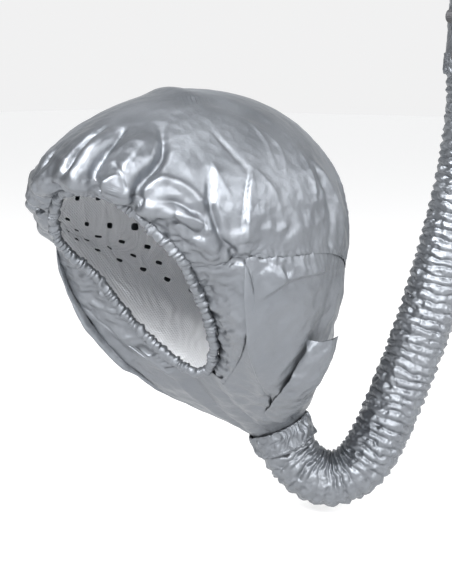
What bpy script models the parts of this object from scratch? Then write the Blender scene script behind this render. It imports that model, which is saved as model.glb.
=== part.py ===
"""Soft bonnet hood dryer: a silver fabric hood that a hand-held hair dryer inflates through a wide hose.

Metres, +Z up. The hood faces -Y. The origin is the crown of the head that wears it.
The hood is a dome with an elastic face opening, an inner liner, and a rear duct that
tapers to the hose. The hose ends in a soft cuff that a drawstring and a cord lock
close round the dryer's nozzle.
"""

import math

import bmesh
import bpy
from mathutils import Matrix, Vector

# Fabric
FABRIC = 0.0009
LINER = 0.0007
GAP = 0.0004

# Dome: crown pole, widest ring and its height at the front, side and rear
CROWN = Vector((0.0, 0.055, 0.030))
BULGE_HALF_WIDTH = 0.152
BULGE_CENTRE_Y = 0.066
BULGE_HALF_LENGTH = 0.188
BULGE_Z = (-0.052, -0.114, -0.128)
CROWN_POWER = (1.25, 1.04, 0.90)
TUCK_POWER = (0.95, 0.55, 0.75)
LINER_INSET = 0.011
LINER_LIFT = (0.004, 0.012, 0.020)

# Hem of the face opening, every 30 degrees from the forehead to the nape, on the +X side
HEM_POINTS = [
    Vector((0.000, -0.097, -0.066)),
    Vector((0.048, -0.086, -0.080)),
    Vector((0.083, -0.052, -0.127)),
    Vector((0.071, -0.008, -0.170)),
    Vector((0.061, 0.024, -0.212)),
    Vector((0.036, 0.056, -0.256)),
    Vector((0.000, 0.070, -0.276)),
]
HEM_RADIUS = 0.0042
HEM_WALL = 0.0008
HEM_SLIT_DEG = 30
ELASTIC_RADIUS = 0.0024

# Columns round the dome; the duct joins it behind the columns nearest SEAM_START_DEG
COLUMNS = 48
SEAM_START_DEG = 67.5
SEAM_Z = (-0.110, -0.133, -0.200)
DOME_ROWS = 10
CHEEK_ROWS = 4
DUCT_ROWS = 9
FIN_COLUMN = 8
FIN_LEVELS = (0.48, 0.93)
FIN_WIDTH = 0.015
FIN_RISE = 0.014

# Hose: it leaves the duct at OUTLET and lies in the upright plane along HOSE_PLANE
OUTLET = Vector((0.0, 0.222, -0.372))
HOSE_PLANE = Vector((0.766, 0.643, 0.0)).normalized()
HOSE_RADIUS = 0.035
NECK_LENGTH = 0.009
HOSE_TILT_DEG = 24
HOSE_STEP = 0.013
HOSE_ROUTE = [  # along HOSE_PLANE, up
    (0.0125, -0.0280),
    (0.0340, -0.0500),
    (0.0625, -0.0580),
    (0.0940, -0.0420),
    (0.1150, -0.0080),
    (0.1310, 0.0300),
    (0.1500, 0.0800),
    (0.1680, 0.1350),
    (0.1850, 0.1950),
    (0.2000, 0.2550),
    (0.2110, 0.3100),
    (0.2170, 0.3600),
    (0.2190, 0.3900),
    (0.2190, 0.4125),
    (0.2190, 0.4350),
]
HOOP_RADIUS = 0.0306
WIRE_RADIUS = 0.0015
COLLAR_LENGTH = 0.024
COLLAR_OVERLAP = 0.006

# Cuff at the hose's dryer end, upright, with a drawstring channel round its mouth
CUFF_LENGTH = 0.070
MOUTH_RADIUS = 0.0315
CHANNEL_HEIGHT = 0.010
CHANNEL_DEPTH = 0.0075
CHANNEL_WALL = 0.0010
CORD_RADIUS = 0.00125
TAIL_REACH = 0.0108
TAIL_SPREAD = 0.0036
TAIL_LENGTH = 0.066

# Cord lock on the drawstring's tails
LOCK_DROP = 0.030
LOCK_RADIUS = 0.0075
LOCK_LENGTH = 0.025
LOCK_WALL = 0.0016
LOCK_FLOOR = 0.0016
BUTTON_TRAVEL = 0.003
BUTTON_PROUD = 0.0050
BUTTON_WEB = 0.0018
BUTTON_GAP = 0.0003
SPRING_TURNS = 3
STOP_RADIUS = 0.0034
STOP_LENGTH = 0.011

COLOURS = {
    "silver_fabric": ((0.62, 0.64, 0.67, 1), 0.38, 0.85),
    "silver_hose": ((0.58, 0.60, 0.64, 1), 0.36, 0.85),
    "liner_fabric": ((0.74, 0.75, 0.77, 1), 0.60, 0.35),
    "elastic": ((0.86, 0.86, 0.84, 1), 0.85, 0.0),
    "spring_wire": ((0.70, 0.70, 0.72, 1), 0.30, 1.0),
    "drawstring": ((0.05, 0.05, 0.06, 1), 0.85, 0.0),
    "black_plastic": ((0.03, 0.03, 0.035, 1), 0.45, 0.0),
}


def clear_scene():
    for obj in list(bpy.data.objects):
        bpy.data.objects.remove(obj)


def material(name):
    found = bpy.data.materials.get(name)
    if found:
        return found
    colour, roughness, metallic = COLOURS[name]
    made = bpy.data.materials.new(name)
    made.use_nodes = True
    shader = made.node_tree.nodes["Principled BSDF"]
    shader.inputs["Base Color"].default_value = colour
    shader.inputs["Roughness"].default_value = roughness
    shader.inputs["Metallic"].default_value = metallic
    return made


def add_object(name, mesh, slot):
    obj = bpy.data.objects.new(name, mesh)
    bpy.context.scene.collection.objects.link(obj)
    obj.data.materials.append(material(slot))
    return obj


def mesh_from(name, points, faces):
    mesh = bpy.data.meshes.new(name)
    mesh.from_pydata([tuple(p) for p in points], [], faces)
    mesh.update()
    mesh.shade_smooth()
    return mesh


def thickened(name, points, faces, slot, thickness, offset=0.0):
    """A sheet given its thickness, evenly either side of the points unless offset says otherwise."""
    obj = add_object(name, mesh_from(name, points, faces), slot)
    solidify = obj.modifiers.new("thickness", "SOLIDIFY")
    solidify.thickness = thickness
    solidify.offset = offset
    return obj


def cutter(name, mesh):
    obj = bpy.data.objects.new(name, mesh)
    bpy.context.scene.collection.objects.link(obj)
    obj.hide_render = True
    obj.display_type = "WIRE"
    return obj


def boolean(obj, other, operation="DIFFERENCE"):
    modifier = obj.modifiers.new(operation.lower(), "BOOLEAN")
    modifier.object = other
    modifier.operation = operation
    modifier.solver = "EXACT"


def spread(values, angle):
    """Front, side and rear values, blended smoothly by the angle round the dome."""
    front, side, rear = values
    towards_end = math.cos(angle) ** 2
    end = front if math.cos(angle) > 0 else rear
    return side + (end - side) * towards_end


def spline(points, share):
    """A Catmull-Rom curve through the points; share runs from 0 to 1."""
    spans = len(points) - 1
    at = min(max(share, 0.0), 1.0) * spans
    i = min(int(at), spans - 1)
    t = at - i
    p1, p2 = points[i], points[i + 1]
    p0 = points[i - 1] if i else 2 * p1 - p2
    p3 = points[i + 2] if i + 2 <= spans else 2 * p2 - p1
    return 0.5 * (
        2 * p1 + (p2 - p0) * t + (2 * p0 - 5 * p1 + 4 * p2 - p3) * t * t + (3 * p1 - p0 - 3 * p2 + p3) * t**3
    )


def hem_centre(angle):
    """Centre of the hem's tube; angle 0 is the forehead, and it grows towards +X."""
    turn = angle % (2 * math.pi)
    near = turn <= math.pi
    half = turn if near else 2 * math.pi - turn
    mirrored = [Vector((-p.x, p.y, p.z)) for p in HEM_POINTS]
    loop = mirrored[:0:-1] + HEM_POINTS + mirrored[-2:-4:-1]
    count = len(loop) - 1
    start = len(HEM_POINTS) - 1
    point = spline(loop, (start + half / math.pi * start) / count)
    return point if near else Vector((-point.x, point.y, point.z))


def bulge_point(angle, inset=0.0):
    """The widest ring of the dome."""
    return Vector(
        (
            (BULGE_HALF_WIDTH - inset) * math.sin(angle),
            BULGE_CENTRE_Y - (BULGE_HALF_LENGTH - inset) * math.cos(angle),
            spread(BULGE_Z, angle),
        )
    )


def hem_outward(angle):
    """The level direction from the hem towards the widest ring."""
    way = bulge_point(angle) - hem_centre(angle)
    way.z = 0
    return way.normalized()


def dome_point(angle, row, inset=0.0, lift=0.0):
    """Row 0 is the crown, 1 the widest ring and 2 the hem."""
    bulge = bulge_point(angle, inset)
    if row <= 1:
        lean = row * math.pi / 2
        power = spread(CROWN_POWER, angle)
        top = CROWN.z - inset
        out = math.sin(lean) ** power
        return Vector(
            (
                CROWN.x + (bulge.x - CROWN.x) * out,
                CROWN.y + (bulge.y - CROWN.y) * out,
                bulge.z + (top - bulge.z) * max(math.cos(lean), 0.0) ** power,
            )
        )
    reach = HEM_RADIUS + GAP + FABRIC
    hem = hem_centre(angle) + hem_outward(angle) * (reach + lift * 0.5)
    hem.z += lift
    under = (row - 1) * math.pi / 2
    power = spread(TUCK_POWER, angle)
    flat = hem + (bulge - hem) * max(math.cos(under), 0.0) ** power
    return Vector((flat.x, flat.y, bulge.z - (bulge.z - hem.z) * math.sin(under) ** power))


def seam_row(angle):
    """The row of the seam between dome and duct."""
    bulge = bulge_point(angle)
    hem = dome_point(angle, 2)
    drop = (bulge.z - spread(SEAM_Z, angle)) / (bulge.z - hem.z)
    drop = min(max(drop, 0.03), 0.9) ** (1 / spread(TUCK_POWER, angle))
    return 1 + math.asin(drop) / (math.pi / 2)


def column_angle(column):
    return 2 * math.pi * column / COLUMNS


def cheek_columns():
    """The columns in front of the duct, where the dome reaches down to the hem."""
    side = round(SEAM_START_DEG / 360 * COLUMNS)
    return range(-side, side + 1)


def build_bonnet_shell():
    points = [dome_point(0, 0)]
    rows = []
    for row in range(1, DOME_ROWS + 1):
        rows.append([])
        for column in range(COLUMNS):
            angle = column_angle(column)
            rows[-1].append(len(points))
            points.append(dome_point(angle, seam_row(angle) * row / DOME_ROWS))
    faces = [(0, rows[0][i], rows[0][(i + 1) % COLUMNS]) for i in range(COLUMNS)]
    for upper, lower in zip(rows, rows[1:]):
        for i in range(COLUMNS):
            j = (i + 1) % COLUMNS
            faces.append((upper[i], lower[i], lower[j], upper[j]))
    above = {column: rows[-1][column % COLUMNS] for column in cheek_columns()}
    for row in range(1, CHEEK_ROWS + 1):
        below = {}
        for column in cheek_columns():
            angle = column_angle(column)
            start = seam_row(angle)
            below[column] = len(points)
            points.append(dome_point(angle, start + (2 - start) * row / CHEEK_ROWS))
        for column in list(cheek_columns())[:-1]:
            faces.append((above[column], below[column], below[column + 1], above[column + 1]))
        above = below
    return thickened("bonnet_shell", points, faces, "silver_fabric", FABRIC)


def outlet_axis():
    """The way the duct's mouth and the hose's first stretch point."""
    tilt = math.radians(HOSE_TILT_DEG)
    return (HOSE_PLANE * math.sin(tilt) - Vector((0, 0, 1)) * math.cos(tilt)).normalized()


def outlet_ring(share, above=0.0):
    """A point of the duct's mouth; share 0 is the +X front corner, 0.5 the -X one, by way of the rear."""
    axis = outlet_axis()
    across = Vector((1, 0, 0))
    across = (across - axis * across.dot(axis)).normalized()
    back = across.cross(axis).normalized()
    if back.y < 0:
        back = -back
    turn = 2 * math.pi * share
    radius = HOSE_RADIUS - GAP - 0.0012
    return OUTLET - axis * (GAP + above) + (across * math.cos(turn) + back * math.sin(turn)) * radius


def duct_loop():
    """(top point, share round the mouth, hangs) for the duct's closed upper edge.

    It runs from the +X ear back along the seam to the -X ear, down the cheek edge,
    and back along the hem by way of the nape. Each edge stands clear of the dome's.
    """
    side = max(cheek_columns())
    clear = 2 * GAP / (BULGE_HALF_LENGTH / 2)
    inset_angle = 0.9 * GAP / BULGE_HALF_WIDTH
    loop = []
    count = COLUMNS - 2 * side
    first, last = column_angle(side) + 4 * inset_angle, column_angle(COLUMNS - side) - 4 * inset_angle
    for i in range(count + 1):
        angle = first + (last - first) * i / count
        hang = 1.1 - 0.6 * max(-math.cos(angle), 0.0)
        loop.append((dome_point(angle, seam_row(angle) + clear * 2), 0.5 * i / count, hang))
    for row in range(1, CHEEK_ROWS):
        start = seam_row(last) + clear * 2
        at = start + (2 - start) * row / CHEEK_ROWS
        loop.append((dome_point(last, at), 0.5 + 0.04 * row / CHEEK_ROWS, 1 - row / CHEEK_ROWS))
    for i in range(count, -1, -1):
        angle = first + (last - first) * i / count
        loop.append((dome_point(angle, 2), 0.54 + 0.42 * (count - i) / count, 0.0))
    for row in range(CHEEK_ROWS - 1, 0, -1):
        start = seam_row(first) + clear * 2
        at = start + (2 - start) * row / CHEEK_ROWS
        loop.append((dome_point(first, at), 1 - 0.04 * row / CHEEK_ROWS, 1 - row / CHEEK_ROWS))
    return loop


def duct_point(top, share, hangs, level):
    """A quadratic curve from the upper edge to the neck; the rear wall hangs before it tapers."""
    end = outlet_ring(share, NECK_LENGTH)
    middle = (top + end) / 2
    hung = Vector((top.x * 0.92, top.y, top.z + (end.z - top.z) * 0.62))
    control = middle.lerp(hung, hangs)
    return top * (1 - level) ** 2 + control * 2 * level * (1 - level) + end * level**2


def build_duct_shell():
    loop = duct_loop()
    points = []
    faces = []
    for row in range(DUCT_ROWS + 1):
        level = (row / DUCT_ROWS) ** 1.1
        points += [duct_point(top, share, hangs, level) for top, share, hangs in loop]
    points += [outlet_ring(share) for _, share, _ in loop]
    for row in range(DUCT_ROWS + 1):
        for i in range(len(loop)):
            j = (i + 1) % len(loop)
            a, b = row * len(loop), (row + 1) * len(loop)
            faces.append((a + i, b + i, b + j, a + j))
    return thickened("duct_shell", points, faces, "silver_fabric", FABRIC)


def swept(points, closed, section_at):
    """Points and faces of a section carried along a line; section_at gives each station's ring."""
    rings = [section_at(i) for i in range(len(points))]
    size = len(rings[0])
    verts = [p for ring in rings for p in ring]
    faces = []
    for i in range(len(rings) if closed else len(rings) - 1):
        j = (i + 1) % len(rings)
        for k in range(size):
            m = (k + 1) % size
            faces.append((i * size + k, i * size + m, j * size + m, j * size + k))
    if not closed:
        faces.append(tuple(range(size))[::-1])
        faces.append(tuple((len(rings) - 1) * size + k for k in range(size)))
    return verts, faces


def facing_out(obj):
    mesh = obj.data
    edit = bmesh.new()
    edit.from_mesh(mesh)
    bmesh.ops.recalc_face_normals(edit, faces=edit.faces)
    edit.to_mesh(mesh)
    edit.free()
    mesh.shade_smooth()
    return obj


def hem_frame(angle):
    """Centre, outward and upward directions across the hem."""
    step = 0.01
    along = (hem_centre(angle + step) - hem_centre(angle - step)).normalized()
    out = hem_outward(angle)
    out = (out - along * out.dot(along)).normalized()
    return hem_centre(angle), out, along.cross(out).normalized()


def build_face_hem():
    """The folded hem: a tube slit along the side where the dome is sewn in."""
    stations = 60
    arc = 7
    angles = [2 * math.pi * i / stations for i in range(stations)]

    def section(i):
        centre, out, up = hem_frame(angles[i])
        ring = []
        for radius, order in ((HEM_RADIUS, range(arc + 1)), (HEM_RADIUS - HEM_WALL, range(arc, -1, -1))):
            for k in order:
                slit = math.radians(HEM_SLIT_DEG)
                turn = slit / 2 + (2 * math.pi - slit) * k / arc
                ring.append(centre + (out * math.cos(turn) + up * math.sin(turn)) * radius)
        return ring

    points, faces = swept(angles, True, section)
    return facing_out(add_object("face_hem", mesh_from("face_hem", points, faces), "silver_fabric"))


def build_face_elastic():
    stations = 60
    sides = 6
    angles = [2 * math.pi * i / stations for i in range(stations)]

    def section(i):
        centre, out, up = hem_frame(angles[i])
        turns = [2 * math.pi * k / sides for k in range(sides)]
        return [centre + (out * math.cos(t) + up * math.sin(t)) * ELASTIC_RADIUS for t in turns]

    points, faces = swept(angles, True, section)
    return facing_out(add_object("face_elastic", mesh_from("face_elastic", points, faces), "elastic"))


def build_inner_liner():
    """The perforated liner: air reaches the hair through a hole in every other panel of its grid."""
    columns = 36
    rows = 9
    points = [dome_point(0, 0, LINER_INSET)]
    grid = []
    for row in range(1, rows + 1):
        grid.append([])
        for column in range(columns):
            angle = 2 * math.pi * column / columns
            grid[-1].append(len(points))
            points.append(dome_point(angle, 2 * row / rows, LINER_INSET, spread(LINER_LIFT, angle)))
    faces = [(0, grid[0][i], grid[0][(i + 1) % columns]) for i in range(columns)]
    for r, (upper, lower) in enumerate(zip(grid, grid[1:])):
        for i in range(columns):
            j = (i + 1) % columns
            quad = (upper[i], lower[i], lower[j], upper[j])
            if 1 <= r <= rows - 4 and (i + r) % 3 == 0:
                faces += air_hole(points, quad)
            else:
                faces.append(quad)
    return thickened("inner_liner", points, faces, "liner_fabric", LINER)


def air_hole(points, quad):
    """Replaces a panel by the frame round a square hole in its middle."""
    size = 0.0035
    corners = [points[k] for k in quad]
    middle = sum(corners, Vector()) / 4
    inner = []
    for corner in corners:
        inner.append(len(points))
        points.append(middle + (corner - middle).normalized() * size)
    return [(quad[k], quad[(k + 1) % 4], inner[(k + 1) % 4], inner[k]) for k in range(4)]


def tube_along(name, line, radius, sides, slot):
    """A closed round tube that follows a line of points, with flat ends."""

    def section(i):
        ahead = line[min(i + 1, len(line) - 1)]
        behind = line[max(i - 1, 0)]
        along = (ahead - behind).normalized()
        across = steady.cross(along).normalized()
        up = along.cross(across)
        turns = [2 * math.pi * k / sides for k in range(sides)]
        return [line[i] + (across * math.cos(t) + up * math.sin(t)) * radius for t in turns]

    span = line[-1] - line[0]
    steady = Vector((0.31, 0.42, 0.85))
    if abs(steady.dot(span.normalized())) > 0.9:
        steady = Vector((0.95, 0.1, 0.2))
    points, faces = swept(line, False, section)
    return facing_out(add_object(name, mesh_from(name, points, faces), slot))


def build_seam_binding():
    """A bead of tape along the gathered seam, just outside the fabric."""
    side = max(cheek_columns())
    stand = FABRIC / 2 + GAP + 0.0018
    line = []
    for column in range(side + 1, COLUMNS - side):
        angle = column_angle(column)
        point = dome_point(angle, seam_row(angle))
        away = point - Vector((0, BULGE_CENTRE_Y, point.z))
        line.append(point + away.normalized() * stand)
    return tube_along("duct_seam_binding", line, 0.0013, 6, "silver_fabric")


def build_duct_fin():
    """A pointed leaf of spare fabric along one line of the duct's rear wall."""
    loop = duct_loop()
    steps = 8
    points = []
    for i in range(steps + 1):
        share = i / steps
        level = FIN_LEVELS[0] + (FIN_LEVELS[1] - FIN_LEVELS[0]) * share
        wall = duct_point(*loop[FIN_COLUMN], level)
        down = duct_point(*loop[FIN_COLUMN], level + 0.01) - wall
        along = duct_point(*loop[FIN_COLUMN + 1], level) - wall
        out = down.cross(along).normalized()
        if out.dot(wall - OUTLET) < 0:
            out = -out
        root = wall + out * (FABRIC + 2 * GAP)
        width = FIN_WIDTH * (1 - share) + 0.002
        edge = root + out * width - down.normalized() * FIN_RISE * (1 - share) ** 2
        bow = along.normalized() * 0.004 * math.sin(math.pi * share)
        points += [root, (root + edge) / 2 + bow, edge]
    faces = []
    for i in range(steps):
        for k in range(2):
            corner = 3 * i + k
            faces.append((corner, corner + 3, corner + 4, corner + 1))
    return thickened("duct_fin", points, faces, "silver_fabric", FABRIC)


def in_hose_plane(along, up):
    return OUTLET + HOSE_PLANE * along + Vector((0, 0, up))


def hose_line():
    """The hose's centreline, evenly spaced, straight out of the outlet and upright at the cuff."""
    axis = outlet_axis()
    route = [OUTLET + axis * GAP, OUTLET + axis * 0.014] + [in_hose_plane(a, u) for a, u in HOSE_ROUTE]
    fine = [spline(route, i / 600) for i in range(601)]
    line = [fine[0]]
    travelled = 0.0
    for before, after in zip(fine, fine[1:]):
        travelled += (after - before).length
        if travelled >= HOSE_STEP:
            line.append(after)
            travelled = 0.0
    line[-1] = fine[-1]
    return line


def build_hose():
    """The free hose, as a plain tube of its outer diameter."""
    curve = bpy.data.curves.new("hose", "CURVE")
    curve.dimensions = "3D"
    line = hose_line()
    path = curve.splines.new("POLY")
    path.points.add(len(line) - 1)
    for point, place in zip(path.points, line):
        point.co = (*place, 1)
    curve.bevel_depth = HOSE_RADIUS
    curve.bevel_resolution = 3
    curve.use_fill_caps = True
    return add_object("hose", curve, "silver_hose")


def lathe(name, profile, slot, base, axis, steps=28):
    """A turned shell: profile gives (radius, height) round a closed section."""
    turn = Vector((0, 0, 1)).rotation_difference(axis).to_matrix().to_4x4()
    place = Matrix.Translation(base) @ turn
    angles = [2 * math.pi * i / steps for i in range(steps)]

    def section(i):
        c, s = math.cos(angles[i]), math.sin(angles[i])
        return [place @ Vector((radius * c, radius * s, height)) for radius, height in profile]

    points, faces = swept(angles, True, section)
    return facing_out(add_object(name, mesh_from(name, points, faces), slot))


def build_collar(name, base, axis):
    """A fabric band sewn over a joint; it laps both sides of base."""
    inner = HOSE_RADIUS + GAP + 0.0003
    outer = inner + FABRIC
    low, high = -COLLAR_OVERLAP, COLLAR_LENGTH - COLLAR_OVERLAP
    profile = [(inner, low), (outer, low), (outer, high), (inner, high)]
    return lathe(name, profile, "silver_hose", base, axis)


def build_hoop(name, base, axis):
    """The closed wire hoop that ends the hose's helix."""
    sides = 6
    turns = [2 * math.pi * k / sides for k in range(sides)]
    profile = [(HOOP_RADIUS + WIRE_RADIUS * math.cos(t), WIRE_RADIUS * math.sin(t)) for t in turns]
    return lathe(name, profile, "spring_wire", base, axis)


def cuff_base():
    return in_hose_plane(*HOSE_ROUTE[-1]) + Vector((0, 0, GAP))


def mouth_base():
    return cuff_base() + Vector((0, 0, CUFF_LENGTH + GAP))


def build_cuff_sleeve():
    foot, rim = HOSE_RADIUS - 0.0006, MOUTH_RADIUS
    wall = FABRIC + 0.0003
    profile = [(foot, 0), (rim, CUFF_LENGTH), (rim - wall, CUFF_LENGTH), (foot - wall, 0)]
    return lathe("cuff_sleeve", profile, "silver_hose", cuff_base(), Vector((0, 0, 1)))


def build_drawstring_channel():
    """The hollow hem of the cuff's mouth, with a flat top and a window where the drawstring comes out."""
    outer = MOUTH_RADIUS + 0.0015
    inner = outer - CHANNEL_DEPTH
    wall = CHANNEL_WALL
    top = CHANNEL_HEIGHT
    slit = 0.0005
    profile = [
        (outer, 0), (outer, top), (inner, top), (inner, 0),
        (inner + 3 * wall, 0), (inner + 3 * wall, wall), (inner + wall, wall), (inner + wall, top - wall),
        (outer - wall, top - wall), (outer - wall, wall), (inner + 3 * wall + slit, wall), (inner + 3 * wall + slit, 0),
    ]
    obj = lathe("drawstring_channel", profile, "silver_hose", mouth_base(), Vector((0, 0, 1)), 32)
    width, height = 0.011, 0.0052
    window = bmesh.new()
    bmesh.ops.create_cube(window, size=1.0)
    mesh = bpy.data.meshes.new("channel_window")
    window.to_mesh(mesh)
    window.free()
    size = Matrix.Diagonal((width, 0.006, height, 1))
    middle = mouth_base() + Vector((0, -outer, CHANNEL_HEIGHT / 2))
    mesh.transform(Matrix.Translation(middle) @ size)
    boolean(obj, cutter("channel_window", mesh))
    return obj


def drawstring_line():
    """One tail, once round inside the channel, and the other tail; both tails hang in front of the cuff."""
    centre = mouth_base() + Vector((0, 0, CHANNEL_HEIGHT / 2))
    ring = MOUTH_RADIUS + 0.0015 - CHANNEL_DEPTH / 2 - 0.0004
    front = -(MOUTH_RADIUS + TAIL_REACH)
    half = TAIL_SPREAD / 2
    tail_foot = centre.z - TAIL_LENGTH

    def tail(side):
        drop = [Vector((centre.x + side * half, centre.y + front, tail_foot + i * 0.011)) for i in range(6)]
        over = [
            Vector((centre.x + side * half, centre.y + front + 0.0008, centre.z - 0.0050)),
            Vector((centre.x + side * half * 1.05, centre.y + front + 0.0036, centre.z - 0.0012)),
            Vector((centre.x + side * half * 1.10, centre.y + front + 0.0085, centre.z)),
        ]
        return drop + over

    start = math.asin((half + 0.0012) / ring)
    steps = 34
    turns = [start + (2 * math.pi - 2 * start) * i / steps for i in range(steps + 1)]
    loop = [centre + Vector((ring * math.sin(t), -ring * math.cos(t), 0)) for t in turns]
    return tail(1) + loop + tail(-1)[::-1]


def build_drawstring():
    """The cord, rounded at its corners so that it bends as a cord does."""
    rough = drawstring_line()
    line = [spline(rough, i / 110) for i in range(111)]
    curve = bpy.data.curves.new("drawstring", "CURVE")
    curve.dimensions = "3D"
    path = curve.splines.new("POLY")
    path.points.add(len(line) - 1)
    for point, place in zip(path.points, line):
        point.co = (*place, 1)
    curve.bevel_depth = CORD_RADIUS
    curve.bevel_resolution = 1
    curve.use_fill_caps = True
    return add_object("drawstring", curve, "drawstring")


def tail_place(side, drop):
    """A point on a tail, that far below the channel's middle."""
    centre = mouth_base() + Vector((0, 0, CHANNEL_HEIGHT / 2))
    return centre + Vector((side * TAIL_SPREAD / 2, -(MOUTH_RADIUS + TAIL_REACH), -drop))


def lock_centre():
    return tail_place(0, LOCK_DROP)


def box_mesh(name, low, high):
    edit = bmesh.new()
    bmesh.ops.create_cube(edit, size=1.0)
    mesh = bpy.data.meshes.new(name)
    edit.to_mesh(mesh)
    edit.free()
    middle, size = (low + high) / 2, high - low
    mesh.transform(Matrix.Translation(middle) @ Matrix.Diagonal((*size, 1)))
    return mesh


def cord_slot(name, travel_low, travel_high):
    """A cutter for the slot that both tails pass through; it is longer along X by the button's travel."""
    centre = lock_centre()
    clear = CORD_RADIUS + 0.0004
    half = TAIL_SPREAD / 2
    low = centre + Vector((-half - clear - travel_low, -clear, -0.012))
    high = centre + Vector((half + clear + travel_high, clear, 0.012))
    return cutter(name, box_mesh(name, low, high))


def build_cord_lock():
    """Barrel, button and spring; the barrel lies along X and the tails pass through it upright."""
    centre = lock_centre()
    axis = Vector((1, 0, 0))
    half = LOCK_LENGTH / 2
    bore = LOCK_RADIUS - LOCK_WALL
    floor = LOCK_FLOOR
    profile = [
        (0.0, -half), (LOCK_RADIUS - 0.001, -half), (LOCK_RADIUS, -half + 0.001), (LOCK_RADIUS, half - 0.0008),
        (LOCK_RADIUS - 0.0008, half), (bore, half), (bore, -half + floor), (0.0, -half + floor),
    ]
    barrel = turned("cord_lock_barrel", profile, "black_plastic", centre, axis)
    boolean(barrel, cord_slot("barrel_slot", 0.0, 0.0))
    stem = bore - BUTTON_GAP
    shoulder = half + BUTTON_PROUD
    foot = -TAIL_SPREAD / 2 - CORD_RADIUS - 0.0004 - BUTTON_WEB
    profile = [
        (0.0, foot), (stem, foot), (stem, half - 0.0004), (stem, shoulder - 0.001),
        (stem - 0.001, shoulder), (0.0, shoulder),
    ]
    button = turned("cord_lock_button", profile, "black_plastic", centre, axis)
    boolean(button, cord_slot("button_slot", 0.0, BUTTON_TRAVEL))
    build_lock_spring(centre.x - half + floor + BUTTON_GAP, centre.x + foot - BUTTON_GAP, centre)
    return barrel, button


def turned(name, profile, slot, base, axis, steps=20):
    """A turned solid whose profile starts and ends on the axis."""
    turn = Vector((0, 0, 1)).rotation_difference(axis).to_matrix().to_4x4()
    place = Matrix.Translation(base) @ turn
    points = [place @ Vector((0, 0, profile[0][1])), place @ Vector((0, 0, profile[-1][1]))]
    rings = []
    for radius, height in profile[1:-1]:
        rings.append([])
        for i in range(steps):
            angle = 2 * math.pi * i / steps
            rings[-1].append(len(points))
            points.append(place @ Vector((radius * math.cos(angle), radius * math.sin(angle), height)))
    faces = []
    for i in range(steps):
        j = (i + 1) % steps
        faces.append((0, rings[0][i], rings[0][j]))
        faces.append((1, rings[-1][j], rings[-1][i]))
        for near, far in zip(rings, rings[1:]):
            faces.append((near[i], far[i], far[j], near[j]))
    return facing_out(add_object(name, mesh_from(name, points, faces), slot))


def build_lock_spring(low, high, centre):
    wire = 0.0004
    radius = 0.0034
    per_turn = 12
    count = SPRING_TURNS * per_turn
    span = high - low - 2 * wire
    line = []
    for i in range(count + 1):
        turn = 2 * math.pi * i / per_turn
        at = low + wire + span * i / count
        line.append(Vector((at, centre.y + radius * math.cos(turn), centre.z + radius * math.sin(turn))))
    curve = bpy.data.curves.new("cord_lock_spring", "CURVE")
    curve.dimensions = "3D"
    path = curve.splines.new("POLY")
    path.points.add(len(line) - 1)
    for point, place in zip(path.points, line):
        point.co = (*place, 1)
    curve.bevel_depth = wire
    curve.bevel_resolution = 1
    curve.use_fill_caps = True
    return add_object("cord_lock_spring", curve, "spring_wire")


def build_cord_stops():
    """A moulded bell below each tail, so that the lock can't come off."""
    for name, side in (("cord_stop_near", 1), ("cord_stop_far", -1)):
        foot = tail_place(side * 1.0, TAIL_LENGTH + GAP)
        foot.x += side * (STOP_RADIUS - TAIL_SPREAD / 2 + GAP)
        profile = [
            (0.0, 0.0), (STOP_RADIUS * 0.6, 0.0), (STOP_RADIUS, -0.004),
            (STOP_RADIUS, -STOP_LENGTH + 0.001), (STOP_RADIUS - 0.001, -STOP_LENGTH), (0.0, -STOP_LENGTH),
        ]
        turned(name, profile, "black_plastic", foot, Vector((0, 0, 1)), 14)


def main():
    clear_scene()
    build_bonnet_shell()
    build_duct_shell()
    build_face_hem()
    build_face_elastic()
    build_inner_liner()
    build_seam_binding()
    build_duct_fin()
    axis = outlet_axis()
    build_hoop("outlet_hoop", OUTLET - axis * 0.005, axis)
    build_collar("outlet_collar", OUTLET, axis)
    build_hose()
    up = Vector((0, 0, 1))
    build_collar("cuff_collar", cuff_base(), -up)
    build_hoop("cuff_hoop", cuff_base() + up * 0.004, up)
    build_cuff_sleeve()
    build_drawstring_channel()
    build_drawstring()
    build_cord_lock()
    build_cord_stops()


main()
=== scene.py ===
"""Looks of the soft bonnet hood dryer: silver fabric, gathers, the crinkled hose, the liner and the cuff.

Metres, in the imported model's frame: +Z up, the face opening towards -Y, the origin at the crown.
"""

import math

import bpy
import numpy as np
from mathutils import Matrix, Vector
from mathutils.bvhtree import BVHTree


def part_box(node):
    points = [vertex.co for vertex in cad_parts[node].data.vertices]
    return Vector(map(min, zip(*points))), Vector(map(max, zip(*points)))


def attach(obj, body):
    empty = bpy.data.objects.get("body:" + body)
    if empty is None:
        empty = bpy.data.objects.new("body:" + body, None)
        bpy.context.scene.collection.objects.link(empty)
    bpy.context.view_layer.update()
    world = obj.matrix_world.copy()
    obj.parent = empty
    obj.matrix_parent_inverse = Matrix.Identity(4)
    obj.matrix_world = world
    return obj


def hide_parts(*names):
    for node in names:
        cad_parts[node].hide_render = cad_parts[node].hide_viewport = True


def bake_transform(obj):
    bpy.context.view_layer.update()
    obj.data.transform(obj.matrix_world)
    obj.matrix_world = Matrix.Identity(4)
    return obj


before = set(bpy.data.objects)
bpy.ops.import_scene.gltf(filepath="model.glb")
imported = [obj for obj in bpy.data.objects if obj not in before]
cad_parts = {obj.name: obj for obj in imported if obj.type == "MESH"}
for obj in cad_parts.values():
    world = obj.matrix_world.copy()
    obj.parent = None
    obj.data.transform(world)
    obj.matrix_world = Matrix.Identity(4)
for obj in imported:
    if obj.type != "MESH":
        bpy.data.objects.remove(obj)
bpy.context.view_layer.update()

# -------- measures shared with the frame

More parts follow.
